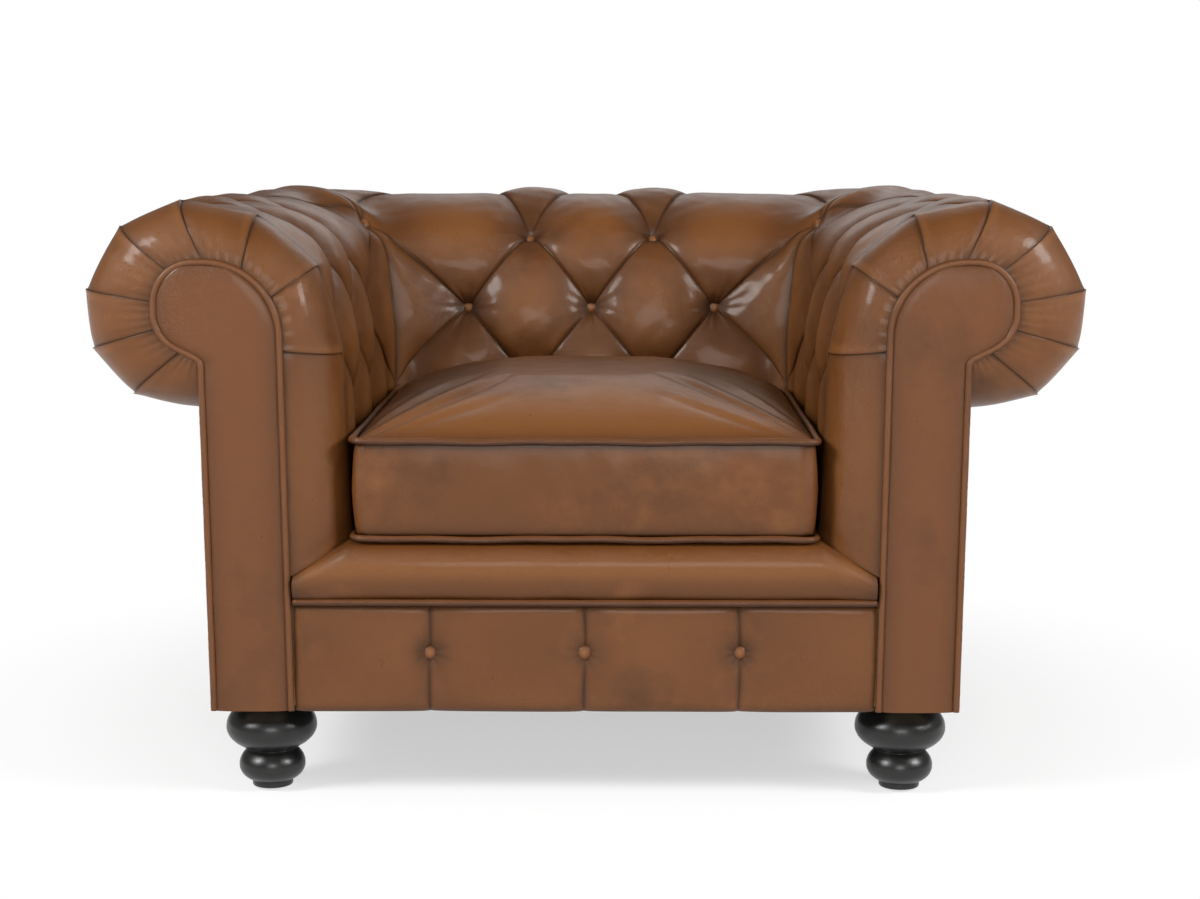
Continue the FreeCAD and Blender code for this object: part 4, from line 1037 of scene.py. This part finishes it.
tooth_half = (0.0008, 0.0005, 0.0017)
tooth_pitch, tooth_stagger = 0.0028, 0.0007
corner = np.array([(a, b, c) for a in (-1, 1) for b in (-1, 1) for c in (-1, 1)]) * tooth_half
quad = np.array([(0, 1, 3, 2), (4, 6, 7, 5), (0, 4, 5, 1), (2, 3, 7, 6), (0, 2, 6, 4), (1, 5, 7, 3)])
teeth_x = np.arange(-0.238, 0.2385, tooth_pitch)
count = np.arange(len(teeth_x))
centre = grid_of(teeth_x, zip_y + 0.0012, zip_height + tooth_stagger * (-1.0) ** count)
mesh = bpy.data.meshes.new("zip_teeth")
mesh.from_pydata((centre[:, None] + corner).reshape(-1, 3), [],
                 (quad + len(corner) * count[:, None, None]).reshape(-1, 4))
mesh.materials.append(zip_brass)
teeth = bpy.data.objects.new("zip_teeth", mesh)
scene.collection.objects.link(teeth)
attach(teeth, "seat_cushion")
dress("cushion_zip_slider", zip_brass)

# ---- Turned feet
# Beech turned to two buns on a small base, stained black and lacquered satin, on a plastic glide.


def stretched_place(tree, stretch):
    """Object coordinates scaled along each axis, small along the grain."""
    return add(tree, "Mapping", {"Scale": stretch, "Vector": object_place(tree)}).outputs[0]


black_lacquer, tree, shader = plain_material("black_lacquer")
grain = noise(tree, stretched_place(tree, (90, 90, 14)), 5.0, 6.0)
two_toned(tree, shader, grain, (0.004, 0.0042, 0.004), (0.009, 0.0085, 0.0075))
drifting_gloss(tree, shader, grain, 0.26, 0.42)
feed(tree, shader, {"Normal": bumped(tree, grain, 0.12, 0.0004)})
foot_shape = np.array([
    (2, 3), (23.5, 3), (25, 4), (25, 9), (24.6, 10.4), (27, 11), (34, 15), (39.5, 22), (41, 30), (39.5, 38),
    (35, 45), (30.5, 49), (29.4, 50.2), (31, 51.2), (39, 55), (49, 62), (55, 71), (56, 80), (53.5, 90), (46, 99),
    (37.5, 106), (34.2, 109), (34, 110.5), (34, 112), (8, 112),
]) / 1000
foot_x, front_foot_y, back_foot_y = 0.388, -0.389, 0.2657
around = np.linspace(0, 2 * np.pi, 96, endpoint=False)
foot_line = np.concatenate([
    np.linspace(here, ahead, 4, endpoint=False) for here, ahead in zip(foot_shape[:-1], foot_shape[1:])
] + [foot_shape[-1:]])
even_out = np.ones(5) / 5
r, h = (np.convolve(np.pad(foot_line[:, c], 2, "edge"), even_out, "valid")[:, None] for c in (0, 1))
for label, cx, cy in (("front_left", -foot_x, front_foot_y), ("front_right", foot_x, front_foot_y),
                      ("back_left", -foot_x, back_foot_y), ("back_right", foot_x, back_foot_y)):
    grid = grid_of(cx + r * np.cos(around), cy + r * np.sin(around), h)
    foot = leather_grid(f"{label}_turned_foot", grid, black_lacquer, False, closed=True)
    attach(foot, "chair")
    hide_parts(f"{label}_foot")

# ---- Frame, springs and webbing
# Planed beech rails and posts with plywood scroll boards, sinuous springs in clips, jute webbing, and a black
# cloth under the frame.


def wood_material(name, pale, dark, along):
    """Straight-grained wood: noise stretched along the grain mixes two tones and drives the bump."""
    material, tree, shader = plain_material(name)
    lines = noise(tree, stretched_place(tree, along), 1.0, 8.0)
    two_toned(tree, shader, lines, pale, dark)
    feed(tree, shader, {"Normal": bumped(tree, lines, 0.2, 0.0004), "Roughness": 0.6})
    return material


def metal_material(name, color, rough, scale):
    """Worn steel: a fine noise drifts the roughness and the tone."""
    material, tree, shader = plain_material(name)
    feed(tree, shader, {"Metallic": 1.0})
    fleck = noise(tree, object_place(tree), scale)
    two_toned(tree, shader, fleck, color, [0.5 * c for c in color])
    drifting_gloss(tree, shader, fleck, rough - 0.1, rough + 0.15)
    return material


glide_plastic, tree, shader = plain_material("glide_plastic")
feed(tree, shader, {"Base Color": (0.02, 0.02, 0.02, 1)})
drifting_gloss(tree, shader, noise(tree, object_place(tree), 300.0), 0.35, 0.6)
finishes = {
    "timber": wood_material("raw_beech", (0.62, 0.44, 0.27), (0.45, 0.29, 0.16), (90, 9, 90)),
    "plywood": wood_material("raw_plywood", (0.66, 0.5, 0.32), (0.5, 0.34, 0.2), (30, 30, 6)),
    "webbing": cloth_material("jute_webbing", (0.3, 0.22, 0.13), (0.2, 0.14, 0.08), 240.0),
    "spring_steel": metal_material("spring_wire", (0.38, 0.36, 0.34), 0.4, 90.0),
    "zinc_steel": metal_material("zinc_plated", (0.6, 0.6, 0.62), 0.35, 160.0),
    "dust_cloth": cloth_material("dust_cloth", (0.012, 0.012, 0.013), (0.02, 0.02, 0.021), 500.0),
    "glide_plastic": glide_plastic,
}
for part in frame["record"]["subparts"]:
    if part["material_slot"] in finishes:
        dress(part["node"], finishes[part["material_slot"]])
